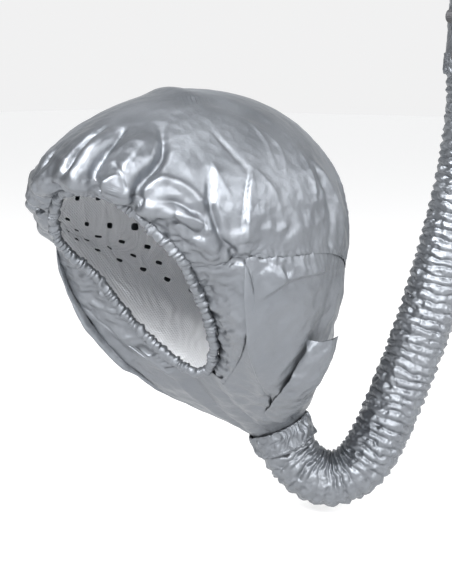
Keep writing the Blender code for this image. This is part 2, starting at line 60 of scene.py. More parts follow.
CROWN = np.array((0.0, 0.055, 0.030))
BULGE_HALF_WIDTH = 0.152
BULGE_CENTRE_Y = 0.066
BULGE_HALF_LENGTH = 0.188
BULGE_Z = (-0.052, -0.114, -0.128)
CROWN_POWER = (1.25, 1.04, 0.90)
TUCK_POWER = (0.95, 0.55, 0.75)
SEAM_Z = (-0.110, -0.133, -0.200)
SEAM_START_DEG = 67.5
HEM_POINTS = [
    (0, -0.097, -0.066),
    (0.048, -0.086, -0.08),
    (0.083, -0.052, -0.127),
    (0.071, -0.008, -0.17),
    (0.061, 0.024, -0.212),
    (0.036, 0.056, -0.256),
    (0, 0.07, -0.276),
]
HEM_REACH = 0.0055
HEM_PLEAT = 0.0068
OUTLET = np.array((0.0, 0.222, -0.372))
HOSE_PLANE = np.array((0.766, 0.643, 0.0)) / math.hypot(0.766, 0.643)
HOSE_RADIUS = 0.035
HOSE_TILT_DEG = 24
HOSE_GAP = 0.0004
HOSE_STEP = 0.0011
HELIX_PITCH = 0.0105
BLACK_NODES = ("cord_lock_barrel", "cord_lock_button", "cord_stop_near", "cord_stop_far")
HOOP_NODES = ("outlet_hoop", "cuff_hoop")
SPRING_TURNS = 3
SPRING_WIRE = 0.0004
CUFF_LENGTH = 0.070
MOUTH_RADIUS = 0.0315
MOUTH_WINDOW_DEG = 270
MOUTH_WINDOW_SIZE = (0.0055, 0.0026)  # half of its width and height
CHANNEL_HEIGHT = 0.010
CHANNEL_DEPTH = 0.0075
BAND_RADIUS = 0.0368
CUFF_BAND_RADIUS = 0.0362
HOSE_ROUTE = [  # along HOSE_PLANE, up
    (0.0125, -0.028),
    (0.034, -0.05),
    (0.0625, -0.058),
    (0.094, -0.042),
    (0.115, -0.008),
    (0.131, 0.03),
    (0.15, 0.08),
    (0.168, 0.135),
    (0.185, 0.195),
    (0.2, 0.255),
    (0.211, 0.31),
    (0.217, 0.36),
    (0.219, 0.39),
    (0.219, 0.4125),
    (0.219, 0.435),
]

# -------- small helpers


def unit(v):
    v = np.asarray(v, float)
    return v / np.maximum(np.linalg.norm(v, axis=-1, keepdims=True), 1e-12)


def smooth(low, high, value):
    """0 below low, 1 above high, and smooth between."""
    t = np.clip((np.asarray(value, float) - low) / (high - low), 0, 1)
    return t * t * (3 - 2 * t)


def spline(points, share):
    """A Catmull-Rom curve through the points; share runs from 0 to 1."""
    points = np.asarray(points, float)
    spans = len(points) - 1
    at = min(max(share, 0.0), 1.0) * spans
    i = min(int(at), spans - 1)
    t = at - i
    p1, p2 = points[i], points[i + 1]
    p0 = points[i - 1] if i else 2 * p1 - p2
    p3 = points[i + 2] if i + 2 <= spans else 2 * p2 - p1
    return 0.5 * (
        2 * p1 + (p2 - p0) * t + (2 * p0 - 5 * p1 + 4 * p2 - p3) * t * t + (3 * p1 - p0 - 3 * p2 + p3) * t**3
    )


def spread(values, angle):
    """Front, side and rear values, blended smoothly by the angle round the dome."""
    front, side, rear = values
    end = np.where(np.cos(angle) > 0, front, rear)
    return side + (end - side) * np.cos(angle) ** 2


def hashed(cells, salt):
    """A number from 0 to 1 for each whole-numbered cell."""
    x, y, z = (cells[..., k].astype(np.int64) for k in range(3))
    mixed = (x * 73856093) ^ (y * 19349663) ^ (z * 83492791) ^ (int(salt) * 2654435761)
    mixed = (mixed ^ (mixed >> 13)) * 1274126177 & 0x7FFFFFFF
    mixed = (mixed ^ (mixed >> 11)) * 69069 & 0x7FFFFFFF
    return (mixed >> 7 & 0xFFFF) / 65535


def noise_at(points, scale, seed=0):
    """Smooth noise from about -1 to 1 at each point; scale is the size of its lumps in metres."""
    moved = np.asarray(points) / scale
    cell = np.floor(moved)
    inside = moved - cell
    blend = inside * inside * inside * (inside * (inside * 6 - 15) + 10)
    total = 0.0
    for corner in range(8):
        step = np.array([corner & 1, corner >> 1 & 1, corner >> 2 & 1])
        slopes = np.stack([hashed(cell + step, seed * 3 + k + 1) for k in range(3)], axis=-1) * 2 - 1
        height = np.sum(slopes * (inside - step), axis=-1)
        total = total + height * np.prod(np.where(step, blend, 1 - blend), axis=-1)
    return total * 1.6


def ridges_at(points, scale, seed=0):
    """Creased noise from 0 to about 1, with sharp lines at 0, as on crumpled foil."""
    return np.abs(noise_at(points, scale, seed)) * 2


def crumples_at(points, scale, seed):
    """Facets with sharp ridges between them, as crushed foil has; about 0 to 1."""
    lumps = np.stack([noise_at(points, scale * 1.7, seed + k) for k in range(3)], axis=-1)
    moved = (np.asarray(points) + lumps * scale * 0.5) / scale
    cell = np.floor(moved)
    nearest = np.full(moved.shape[:-1], 9.0)
    for i in range(27):
        step = np.array([i % 3, i // 3 % 3, i // 9]) - 1
        other = cell + step
        place = other + np.stack([hashed(other, seed * 5 + k + 1) for k in range(3)], axis=-1)
        nearest = np.minimum(nearest, np.linalg.norm(moved - place, axis=-1))
    return nearest


def lumps_at(points, seed, *layers):
    """Noise in layers, each (size, height); the seed goes up by 1 for each."""
    return sum(noise_at(points, size, seed + k) * height for k, (size, height) in enumerate(layers))


def crushed_at(points, seed, *layers):
    """Crumples in layers, each (size, height), about 0; the seed goes up by 4 for each."""
    heights = [height for size, height in layers]
    crumples = [crumples_at(points, size, seed + 4 * k) - 0.5 for k, (size, height) in enumerate(layers)]
    return sum(each * height for each, height in zip(crumples, heights))


def distance_to(points, others):
    """From each point to the nearest of the others."""
    return np.min(np.linalg.norm(points[:, None, :] - others[None], axis=2), axis=1)


def travelled_along(line):
    """How far each point of the line is from its start, along it."""
    return np.r_[0, np.cumsum(np.linalg.norm(np.diff(line, axis=0), axis=1))]


def fan(outs, ups, sides):
    """The directions of a tube's sides at each station, from outs by way of ups."""
    turn = np.linspace(0, 2 * math.pi, sides, endpoint=False)
    return outs[..., None, :] * np.cos(turn)[:, None] + ups[..., None, :] * np.sin(turn)[:, None]


def tube_faces(stations, sides, closed=False, inward=False, keep=lambda i, k: True):
    """Quads between a tube's rings; closed joins the last ring to the first."""
    faces = []
    for i in range(stations if closed else stations - 1):
        j = (i + 1) % stations
        for k in range(sides):
            m = (k + 1) % sides
            a, b, c, d = i * sides + k, i * sides + m, j * sides + m, j * sides + k
            if keep(i, k):
                faces.append((a, d, c, b) if inward else (a, b, c, d))
    return faces


def dome_faces(rows, columns, keep=lambda k, i: True):
    """Triangles round point 0, then rings of quads down from it."""
    faces = [(0, 1 + i, 1 + (i + 1) % columns) for i in range(columns)]
    return faces + [tuple(1 + i for i in face) for face in tube_faces(rows, columns, inward=True, keep=keep)]


def make_mesh(name, points, faces, uvs=None):
    mesh = bpy.data.meshes.new(name)
    mesh.from_pydata([tuple(map(float, p)) for p in points], [], faces)
    mesh.update()
    mesh.shade_smooth()
    if uvs is not None:
        layer = mesh.uv_layers.new(name="cloth")
        index = np.empty(len(mesh.loops), np.int32)
        mesh.loops.foreach_get("vertex_index", index)
        layer.data.foreach_set("uv", np.asarray(uvs, np.float32)[index].ravel())
    obj = bpy.data.objects.new(name, mesh)
    bpy.context.scene.collection.objects.link(obj)
    return obj


def points_of(obj):
    data = np.empty(len(obj.data.vertices) * 3)
    obj.data.vertices.foreach_get("co", data)
    return data.reshape(-1, 3)


def set_points(obj, points):
    obj.data.vertices.foreach_set("co", np.asarray(points, float).ravel())
    obj.data.update()


def normals_of(obj):
    data = np.empty(len(obj.data.vertices) * 3)
    obj.data.vertex_normals.foreach_get("vector", data)
    return data.reshape(-1, 3)


def add_modifier(obj, kind, name, **settings):
    modifier = obj.modifiers.new(name, kind)
    for key, value in settings.items():
        setattr(modifier, key, value)
    return modifier


def stand_for(piece, material, *nodes):
    """The piece in its material, on the hood, in place of its CAD nodes."""
    piece.data.materials.append(material)
    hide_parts(*nodes)
    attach(piece, "hood")
    return piece


# -------- materials


def new_material(name, colour, roughness, metallic=0.0):
    """(material, its shader, its node tree)."""
    material = bpy.data.materials.new(name)
    material.use_nodes = True
    tree = material.node_tree
    shader = tree.nodes["Principled BSDF"]
    shader.inputs["Base Color"].default_value = (*colour, 1)
    shader.inputs["Roughness"].default_value = roughness
    shader.inputs["Metallic"].default_value = metallic
    return material, shader, tree


def new_node(tree, kind, inputs, **settings):
    """A shader node; each input is a value or another node's output."""
    node = tree.nodes.new("ShaderNode" + kind)
    for name, value in settings.items():
        setattr(node, name, value)
    for name, value in inputs.items():
        if isinstance(value, bpy.types.NodeSocket):
            tree.links.new(value, node.inputs[name])
        else:
            node.inputs[name].default_value = value
    return node


def texture(tree, kind, scale, stretch=(1, 1, 1), values=(), **settings):
    """A texture's height on object coordinates, in cycles per metre."""
    place = new_node(tree, "TexCoord", {}).outputs["Object"]
    moved = new_node(tree, "Mapping", {"Scale": stretch, "Vector": place}).outputs["Vector"]
    node = new_node(tree, "Tex" + kind, {"Scale": scale, "Vector": moved, **dict(values)}, **settings)
    return node.outputs["Distance" if kind == "Voronoi" else "Fac"]


def remap(tree, source, low, high, from_low=0.0, from_high=1.0, **settings):
    ends = {"From Min": from_low, "From Max": from_high, "To Min": low, "To Max": high}
    return new_node(tree, "MapRange", {"Value": source, **ends}, **settings).outputs["Result"]


def tint(tree, shader, source, low, high):
    """Base colour from low to high by the source."""
    ramp = new_node(tree, "ValToRGB", {"Fac": source})
    ramp.color_ramp.elements[0].color = (*low, 1)
    ramp.color_ramp.elements[1].color = (*high, 1)
    tree.links.new(ramp.outputs["Color"], shader.inputs["Base Color"])


def roughen(tree, shader, *remapped):
    tree.links.new(remap(tree, *remapped), shader.inputs["Roughness"])


def bumps(tree, shader, layers):
    """Bumps in series; each layer is (height output, distance in metres, strength)."""
    before = {}
    for source, distance, strength in layers:
        inputs = {"Distance": distance, "Strength": strength, "Height": source, **before}
        before = {"Normal": new_node(tree, "Bump", inputs).outputs["Normal"]}
    tree.links.new(before["Normal"], shader.inputs["Normal"])


def silver_material(name, low, high, roughness, crumple):
    """Aluminium-coated woven nylon: creased like foil, with a fine weave and dull rubbed patches."""
    material, shader, tree = new_material(name, high, roughness, 0.86)
    patches = texture(tree, "Noise", 16, values={"Detail": 4.0})
    worn = {"Detail": 3.0, "Roughness": 0.5}
    creases = texture(tree, "Noise", 34, values=worn, noise_type="RIDGED_MULTIFRACTAL")
    facets = texture(tree, "Voronoi", 75, values={"Smoothness": 0.25}, feature="SMOOTH_F1")
    fine = texture(tree, "Noise", 190, values={"Detail": 4.0, "Roughness": 0.6})
    weave = texture(tree, "Wave", 620, values={"Distortion": 1.5}, bands_direction="DIAGONAL")
    tint(tree, shader, patches, low, high)
    roughen(tree, shader, patches, roughness - 0.09, roughness + 0.13, 0.3, 0.7)
    layers = [
        (creases, 0.0030, 0.30 * crumple),
        (facets, 0.0040, 0.22 * crumple),
        (fine, 0.0010, 0.35 * crumple),
        (weave, 0.0002, 0.25),
    ]
    bumps(tree, shader, layers)
    return material


WAVE_CYCLES = 6.3  # of a wave texture in each unit of its scale


def knitted_material(name, low, high, pitch, roughness):
    """Woven or braided yarn: diagonal ribs one way and across."""
    material, shader, tree = new_material(name, high, roughness)
    scale = 1 / pitch / WAVE_CYCLES
    rib = texture(tree, "Wave", scale, values={"Distortion": 1.0}, bands_direction="DIAGONAL")
    yarn = texture(tree, "Wave", scale, (1, -1, 0.7), bands_direction="X")
    fuzz = texture(tree, "Noise", 900, values={"Detail": 2.0})
    tint(tree, shader, fuzz, low, high)
    bumps(tree, shader, [(rib, pitch * 0.6, 0.7), (yarn, pitch * 0.6, 0.5), (fuzz, 0.0003, 0.4)])
    roughen(tree, shader, fuzz, roughness - 0.1, roughness + 0.1)
    return material


def plastic_material(name, colour):
    """Moulded plastic with a fine spark finish and light scuffs."""
    material, shader, tree = new_material(name, colour, 0.42)
    spark = texture(tree, "Noise", 2600, values={"Detail": 2.0})
    scuffs = texture(tree, "Noise", 160, (1, 1, 6), {"Detail": 6.0})
    tint(tree, shader, scuffs, colour, tuple(c * 1.6 + 0.01 for c in colour))
    roughen(tree, shader, scuffs, 0.30, 0.58, 0.35, 0.65)
    bumps(tree, shader, [(spark, 0.0002, 0.35), (scuffs, 0.0002, 0.25)])
    return material


def wire_material():
    """Drawn spring steel, with streaks and darker spots."""
    material, shader, tree = new_material("spring_steel", (0.62, 0.62, 0.63), 0.25, 1.0)
    streaks = texture(tree, "Noise", 900, (1, 1, 0.1), {"Detail": 4.0})
    spots = texture(tree, "Noise", 240, values={"Detail": 5.0})
    tint(tree, shader, spots, (0.34, 0.33, 0.32), (0.72, 0.72, 0.73))
    roughen(tree, shader, streaks, 0.16, 0.42, 0.3, 0.7)
    bumps(tree, shader, [(streaks, 0.0001, 0.4)])
    return material


# -------- camera, stage and light


def make_camera():
    data = bpy.data.cameras.new("camera")
    data.sensor_width = 36.0
    data.lens = 84.6
    camera = bpy.data.objects.new("camera", data)
    bpy.context.scene.collection.objects.link(camera)
    azimuth, elevation, distance = math.radians(40), math.radians(9), 1.4
    level = math.cos(elevation)
    back = Vector((math.sin(azimuth) * level, -math.cos(azimuth) * level, math.sin(elevation)))
    camera.location = Vector((0.0771, 0.0287, -0.1743)) + back * distance
    camera.rotation_euler = (-back).to_track_quat("-Z", "Y").to_euler()
    bpy.context.scene.camera = camera


def area_light(name, place, target, size, power):
    data = bpy.data.lights.new(name, "AREA")
    data.shape = "RECTANGLE"
    data.size, data.size_y = size
    data.energy = power
    lamp = bpy.data.objects.new(name, data)
    bpy.context.scene.collection.objects.link(lamp)
    lamp.location = place
    lamp.rotation_euler = (Vector(target) - Vector(place)).to_track_quat("-Z", "Y").to_euler()


def make_world():
    """A white room, dimmer overhead, with a dark flag on the -X side that shapes the fabric's far cheek.

    The room only lights the object: what shows behind it is one plain pale backdrop,
    as bright as the far floor.
    """
    world = bpy.data.worlds.new("studio")
    bpy.context.scene.world = world
    world.use_nodes = True
    tree = world.node_tree
    place = new_node(tree, "TexCoord", {}).outputs["Generated"]
    height = new_node(tree, "SeparateXYZ", {0: place}).outputs["Z"]
    ramp = new_node(tree, "ValToRGB", {"Fac": height})
    ramp.color_ramp.elements[0].color = (1, 1, 1, 1)
    ramp.color_ramp.elements[1].position = 0.95
    ramp.color_ramp.elements[1].color = (0.22, 0.23, 0.24, 1)
    middle = ramp.color_ramp.elements.new(0.35)
    middle.color = (0.66, 0.67, 0.68, 1)
    toward = new_node(tree, "VectorMath", {0: place, 1: (-0.95, -0.30, 0.0)}, operation="DOT_PRODUCT")
    flag = remap(tree, toward.outputs["Value"], 1.0, 0.10, 0.60, 0.86, interpolation_type="SMOOTHSTEP")
    shade = new_node(tree, "VectorMath", {0: ramp.outputs["Color"], "Scale": flag}, operation="SCALE")
    behind = new_node(tree, "LightPath", {}).outputs["Is Camera Ray"]
    colours = {"Color1": shade.outputs["Vector"], "Color2": (0.704, 0.704, 0.706, 1)}
    backdrop = new_node(tree, "MixRGB", {"Fac": behind, **colours})
    tree.links.new(backdrop.outputs["Color"], tree.nodes["Background"].inputs["Color"])
    tree.nodes["Background"].inputs["Strength"].default_value = 1.25


FLOOR_REACH = 14
FLOOR_Z = -0.475


def make_stage():
    corners = [(x * FLOOR_REACH, y * FLOOR_REACH, FLOOR_Z) for x, y in ((-1, -1), (1, -1), (1, 1), (-1, 1))]
    floor = make_mesh("floor", corners, [(0, 1, 2, 3)])
    material, shader, _ = new_material("floor", (0.36, 0.36, 0.36), 0.9)
    shader.inputs["Emission Color"].default_value = (1, 1, 1, 1)
    shader.inputs["Emission Strength"].default_value = 0.68
    floor.data.materials.append(material)
    make_world()
    area_light("key", (0.3, -1.85, 1.55), (0.0, -0.02, -0.08), (1.4, 1.1), 190)
    area_light("fill", (2.2, -1.15, 0.9), (0.0, 0.05, -0.15), (1.0, 0.9), 80)
    area_light("side", (1.8, 1.1, 0.9), (0.0, 0.1, -0.1), (0.9, 0.9), 30)
    area_light("top", (0.45, -0.1, 2.2), (0.0, 0.05, -0.1), (0.5, 0.5), 22)
    bpy.context.scene.view_settings.view_transform = "Standard"


# -------- hose


def outlet_axis():
    """The direction in which the hose leaves the outlet."""
    tilt = math.radians(HOSE_TILT_DEG)
    return unit(HOSE_PLANE * math.sin(tilt) - np.array((0, 0, 1)) * math.cos(tilt))


def hose_points():
    """(points close together along the hose's centreline, how far along it each is)."""
    axis = outlet_axis()
    route = [OUTLET + axis * HOSE_GAP, OUTLET + axis * 0.014]
    route += [OUTLET + HOSE_PLANE * along + np.array((0, 0, up)) for along, up in HOSE_ROUTE]
    fine = np.array([spline(route, i / 1200) for i in range(1201)])
    return fine, travelled_along(fine)


def make_hose(material):
    """The hose as a mesh tube: fabric crushed between the turns of its wire helix."""
    fine, travelled = hose_points()
    length = travelled[-1]
    stations = int(length / HOSE_STEP)
    sides = 132
    reach = np.linspace(0, length, stations)
    line = np.stack([np.interp(reach, travelled, fine[:, k]) for k in range(3)], axis=1)
    along = unit(np.gradient(line, axis=0))
    side = np.cross(HOSE_PLANE, (0, 0, 1))
    out = fan(unit(np.cross(along, side)), side, sides)
    flat = line[:, None, :] + out * HOSE_RADIUS
    warp = lumps_at(flat, 1, (0.030, 0.0045), (0.011, 0.0022))
    phase = (reach[:, None] + warp) / HELIX_PITCH + np.arange(sides) / sides
    wire = 1 - np.abs(2 * (phase - np.floor(phase)) - 1)
    sag = 0.0022 + 0.0036 * (noise_at(flat, 0.021, 3) * 0.5 + 0.5)
    crumple = ridges_at(flat, 0.0135, 4) * 0.0016
    crumple += ridges_at(flat * np.array((1, 1, 1.6)), 0.0068, 5) * 0.0008
    ends = smooth(0, 0.010, reach) * smooth(0, 0.010, length - reach)
    radius = HOSE_RADIUS - 0.0004 - (sag * (1 - np.sqrt(wire)) + crumple) * ends[:, None]
    points = line[:, None, :] + out * radius[:, :, None]
    hose = make_mesh("hose_fabric", points.reshape(-1, 3), tube_faces(stations, sides))
    return stand_for(hose, material, "hose")


def declare_hose(pieces):
    """Gathers the cuff's pieces and the hose's centreline, and does nothing more with them."""
    pieces = pieces + [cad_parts[node] for node in ("cuff_hoop", "drawstring", *BLACK_NODES)]
    fine, travelled = hose_points()


# -------- dome


def hem_table():
    """The hem's centreline for angles from -180 to 180 degrees; 0 is the forehead and 90 the +X side."""
    near = [np.array(p) for p in HEM_POINTS]
    far = [p * (-1, 1, 1) for p in near]
    loop = far[:0:-1] + near + far[-2:-4:-1]
    count = len(loop) - 1
    half = np.array([spline(loop, (len(near) - 1) * (1 + i / 360) / count) for i in range(361)])
    mirrored = half[:0:-1] * (-1, 1, 1)
    return np.concatenate([mirrored, half])


HEM = hem_table()


def hem_centre(angle):
    """The hem's centreline at an angle round the face."""
    turn = np.degrees(np.mod(np.asarray(angle) + math.pi, 2 * math.pi)) * 2
    steps = np.arange(721)
    return np.stack([np.interp(turn, steps, HEM[:, k]) for k in range(3)], axis=-1)


def bulge_point(angle, inset=0.0):
    """The dome's widest ring."""
    x = (BULGE_HALF_WIDTH - inset) * np.sin(angle)
    y = BULGE_CENTRE_Y - (BULGE_HALF_LENGTH - inset) * np.cos(angle)
    return np.stack([x, y, spread(BULGE_Z, angle)], axis=-1)


def dome(angle, row, inset=0.0, lift=0.0):
    """A point of the dome: row 0 is the crown, 1 the widest ring and 2 the hem, raised by lift."""
    angle, row = np.broadcast_arrays(np.asarray(angle, float), np.asarray(row, float))
    bulge = bulge_point(angle, inset)
    hem_middle = hem_centre(angle)
    outward = bulge - hem_middle
    outward[..., 2] = 0
    hem = hem_middle + unit(outward) * (HEM_REACH + np.asarray(lift) * 0.5)[..., None]
    hem[..., 2] += lift
    lean = np.clip(row, 0, 1) * math.pi / 2
    power = spread(CROWN_POWER, angle)
    out = (np.sin(lean) ** power)[..., None]
    up = np.clip(np.cos(lean), 0, 1) ** power
    upper = CROWN + (bulge - CROWN) * out
    upper[..., 2] = bulge[..., 2] + (CROWN[2] - inset - bulge[..., 2]) * up
    under = np.clip(row - 1, 0, 1) * math.pi / 2
    tuck = spread(TUCK_POWER, angle)
    lower = hem + (bulge - hem) * (np.clip(np.cos(under), 0, 1) ** tuck)[..., None]
    lower[..., 2] = bulge[..., 2] - (bulge[..., 2] - hem[..., 2]) * np.sin(under) ** tuck
    return np.where((row <= 1)[..., None], upper, lower)


def seam_row(angle):
    """The row of the seam between bonnet and duct."""
    bulge = bulge_point(angle)
    hem = hem_centre(angle)
    drop = (bulge[..., 2] - spread(SEAM_Z, angle)) / (bulge[..., 2] - hem[..., 2])
    drop = np.clip(drop, 0.03, 0.9) ** (1 / spread(TUCK_POWER, angle))
    return 1 + np.arcsin(drop) / (math.pi / 2)


# Edge between cheek and duct on the +X side: from the ear corner of the seam down to the nape
EAR = dome(math.radians(SEAM_START_DEG), seam_row(math.radians(SEAM_START_DEG)))
CHEEK_EDGE = [EAR, (0.136, 0, -0.165), (0.119, 0.012, -0.205), (0.088, 0.038, -0.243), (0.04, 0.068, -0.284)]
CHEEK_END_DEG = 166


def cheek_edge(share):
    """The cheek edge's points at these shares of its length."""
    return np.array([spline(CHEEK_EDGE, s) for s in np.atleast_1d(share)])


# Gathers: the angles round the face where the elastic pinches the fabric
PINCHES_DEG = [-95, -84, -74, -63, -52, -40, -27, -8, 13, 30, 42, 51, 60, 70, 82, 95]

BONNET_COLUMNS = 288
BONNET_ROWS = 64
CHEEK_ROWS = 18
CHEEK_COLUMNS = 84

# Folds of the bonnet: (kind, height and width in mm, points as (degrees round from the forehead, row))
BROW_FOLDS = [
    ("groove", 9, 5, [(14, 1.99), (13.5, 1.36), (12.5, 0.9), (14.5, 0.69), (16, 0.52)]),
    ("groove", 10, 4.6, [(30, 1.99), (29.5, 1.4), (29, 0.95), (31, 0.85), (35, 0.74), (36, 0.63), (31, 0.46)]),
    ("groove", 7, 5, [(-8, 1.99), (-6, 1.6), (1, 0.92), (2, 0.7), (6, 0.52)]),
    ("groove", 6.5, 4.5, [(-27, 1.99), (-24, 1.3), (-19, 0.9), (-14, 0.66)]),
    ("groove", 5, 4, [(-42, 1.99), (-40, 1.4), (-37, 0.95)]),
    ("ridge", 6.5, 13, [(4, 1.5), (6, 1.04), (8, 0.78), (10, 0.56)]),
    ("ridge", 8, 15, [(21, 1.4), (22, 0.92), (25, 0.75), (27, 0.54)]),
    ("groove", 2.5, 2.4, [(24, 1.4), (25, 0.97), (23, 0.86), (19, 0.8)]),
    ("crest", 2.5, 4, [(18, 1.2), (20, 0.95), (24, 0.9), (27, 0.97)]),
    ("groove", 2.5, 2.4, [(7, 1.5), (9, 1.05), (11, 0.95)]),
    ("crest", 2.5, 4, [(4, 1.3), (5, 1), (3, 0.9)]),
    ("crest", 2.5, 4, [(17, 1.5), (19, 1.1), (17, 0.95)]),
]
SIDE_FOLDS = [
    ("ridge", 5, 5, [(31, 1.02), (38, 0.83), (47, 0.86), (52, 0.97)]),
    ("groove", 4.5, 3.6, [(33, 1.1), (42, 0.95), (49, 1)]),
    ("ridge", 5, 5.5, [(37, 1.4), (43, 1.12), (51, 1.14), (54, 1.34)]),
    ("groove", 4, 3.4, [(38, 1.66), (45, 1.38), (51, 1.52)]),
    ("ridge", 4, 6, [(46, 1.8), (54, 1.55), (60, 1.66), (62, 1.9)]),
    ("groove", 6, 5, [(53, 0.66), (53.5, 0.8), (53.5, 0.92), (55.5, 1.05), (58, 1.27), (66, 1.6), (72, 1.92)]),
    ("step", 6.5, 22, [(70.5, 0.67), (66, 0.82), (64.3, 0.97), (64.5, 1.29)]),
    ("groove", 2.2, 3, [(56, 0.47), (63, 0.59), (66.5, 0.65), (70, 0.7)]),
    ("crest", 3, 8, [(69, 0.66), (75.5, 0.76), (78, 0.84), (79, 0.95)]),
    ("crest", 2, 5, [(55, 0.68), (58.5, 0.79), (61.5, 0.88)]),
    ("crest", 2, 6, [(80, 0.36), (83.5, 0.54), (80, 0.7)]),
    ("crest", 2, 6, [(85, 0.44), (89, 0.59), (84, 0.74)]),
    ("crest", 1.8, 6, [(102, 0.55), (100, 0.73), (98, 0.84)]),
    ("groove", 3.5, 5, [(104, 0.68), (106.5, 0.87), (105.5, 1), (103, 1.1)]),
    ("ridge", 3.5, 8, [(103, 0.6), (111, 0.8), (114.5, 1), (112, 1.1)]),
    ("crest", 3, 5, [(60, 1.36), (65, 1.62), (72, 1.86)]),
    ("groove", 3, 4, [(61, 1.3), (67, 1.52), (75, 1.74)]),
    ("crest", 2.6, 5, [(70, 0.96), (76, 0.98), (82, 0.94)]),
]
CROWN_FOLDS = [
    ("ridge", 4, 15, [(-70, 0.2), (-20, 0.12), (30, 0.16), (62, 0.28)]),
    ("groove", 3, 14, [(60, 0.2), (85, 0.34), (100, 0.46)]),
    ("crest", 1.6, 7, [(150, 0.3), (165, 0.52), (172, 0.78)]),
    ("crest", 1.8, 7, [(-140, 0.34), (-152, 0.6), (-149, 0.84)]),
    ("groove", 2.4, 6, [(136, 0.5), (140, 0.74), (150, 0.96)]),
    ("groove", 2.4, 6, [(-168, 0.42), (-160, 0.7), (-172, 0.98)]),
]
# Folds of the duct, the same with places in metres; each but the step has its mirror image on the -X side
DUCT_STEP = [(0.13, 0.006, -0.178), (0.1469, 0.0365, -0.159), (0.1495, 0.0745, -0.155), (0.143, 0.12, -0.157)]
DUCT_FOLDS = [
    ("step", 6, 12, DUCT_STEP),
    ("crest", 2, 5, [(0.138, 0.022, -0.184), (0.1463, 0.0623, -0.1754), (0.1438, 0.1067, -0.1686)]),
    ("ridge", 4, 9, [(0.138, 0.01, -0.14), (0.142, 0.022, -0.15), (0.145, 0.034, -0.146)]),
    ("crest", 3, 6, [(0.139, 0.012, -0.142), (0.1425, 0.026, -0.154), (0.146, 0.036, -0.152)]),
    ("crest", 2.5, 5, [(0.118, 0.014, -0.206), (0.108, 0.022, -0.222), (0.092, 0.038, -0.238)]),
    ("groove", 0.8, 5, [(0.126, 0.02, -0.212), (0.112, 0.034, -0.236), (0.09, 0.056, -0.258)]),
    ("groove", 3, 5, [(0.142, 0.03, -0.138), (0.146, 0.042, -0.15)]),
    ("crest", 2.5, 5, [(0.148, 0.055, -0.136), (0.15, 0.06, -0.152)]),
    ("groove", 2.6, 10, [(0.139, 0.034, -0.186), (0.13, 0.048, -0.2167), (0.113, 0.062, -0.248)]),
    ("crest", 2.5, 6, [(0.141, 0.024, -0.176), (0.135, 0.016, -0.19), (0.126, 0.018, -0.206)]),
    ("crest", 2.5, 9, [(0.135, 0.11, -0.2), (0.12, 0.08, -0.245), (0.085, 0.08, -0.285), (0.04, 0.13, -0.318)]),
    ("groove", 3.5, 6, [(0.085, 0.13, -0.295), (0.055, 0.165, -0.325), (0.034, 0.19, -0.35)]),
    ("groove", 3, 6, [(0.06, 0.1, -0.29), (0.03, 0.14, -0.325), (0.012, 0.175, -0.352)]),
    ("crest", 2.5, 6, [(-0.05, 0.236, -0.205), (-0.02, 0.246, -0.25), (0.02, 0.244, -0.29)]),
    ("groove", 3, 7, [(0.04, 0.24, -0.215), (0.05, 0.23, -0.27), (0.03, 0.236, -0.33)]),
]
FOLD_SAMPLES = 48
SEAM_ALLOWANCE = 0.007
DUCT_COLUMNS = (150, 60, 24)  # along the rear, each side and the nape
DUCT_ROWS = 64
MOUTH_OF_DUCT = HOSE_RADIUS - 0.0016

# The fin from its tip to the outlet: (a point of its root on the duct, a point of its free edge)
FIN = [
    ((0.127, 0.100, -0.228), (0.135, 0.146, -0.229)),
    ((0.127, 0.097, -0.243), (0.134, 0.1435, -0.242)),
    ((0.1175, 0.0945, -0.259), (0.129, 0.141, -0.258)),
    ((0.104, 0.094, -0.279), (0.119, 0.141, -0.276)),
    ((0.084, 0.1025, -0.2975), (0.100, 0.148, -0.298)),
    ((0.055, 0.124, -0.3195), (0.076, 0.160, -0.318)),
    ((0.037, 0.1395, -0.337), (0.050, 0.172, -0.338)),
]
FIN_ACROSS = np.array((0.86, -0.46, -0.20))


def gathers(angle):
    """From 0 in a pinch to 1 on the crown of a puff; each puff is round, and each pinch narrow."""
    pinches = np.radians(PINCHES_DEG)
    turn = np.mod(angle + math.pi, 2 * math.pi) - math.pi
    i = np.clip(np.searchsorted(pinches, turn), 1, len(pinches) - 1)
    across = (turn - pinches[i - 1]) / (pinches[i] - pinches[i - 1])
    inside = (turn > pinches[0]) & (turn < pinches[-1])
    return np.where(inside, np.abs(np.sin(np.clip(across, 0, 1) * math.pi)) ** 0.6, 0.5)


def near_line(points, line, reach):
    """The numbers of the points inside the line's box, made wider by reach."""
    low, high = line.min(axis=0) - reach, line.max(axis=0) + reach
    return np.nonzero(np.all((points > low) & (points < high), axis=1))[0]


def fold_relief(points, normals, kind, height, width, line):
    """How far one fold lifts each point; it fades out towards its ends, and a step drops on its right."""
    line = np.array([spline(line, i / FOLD_SAMPLES) for i in range(FOLD_SAMPLES + 1)])
    index = near_line(points, line, 3 * width)
    relief = np.zeros(len(points))
    if not len(index):
        return relief
    away = points[index][:, None, :] - line[None, :, :]
    distance = np.linalg.norm(away, axis=2)
    closest = np.argmin(distance, axis=1)
    rows = np.arange(len(index))
    distance = distance[rows, closest]
    share = closest / FOLD_SAMPLES
    fade = smooth(0, 0.22, share) * smooth(0, 0.22, 1 - share)
    if kind == "step":
        along = unit(np.gradient(line, axis=0))[closest]
        side = np.sum(np.cross(along, normals[index]) * away[rows, closest], axis=1)
        lifted = np.exp(-np.maximum(-side, 0) / width) * smooth(-0.0012, 0.0012, -side)
        fade = fade * np.exp(-(np.maximum(distance - np.abs(side), 0) / 0.008) ** 2)
        relief[index] = height * lifted * fade
    elif kind == "crest":
        relief[index] = height * np.exp(-distance / width * 1.8) * fade
    else:
        relief[index] = height * np.exp(-((distance / width) ** 2)) * fade * (1 if kind == "ridge" else -1)
    return relief


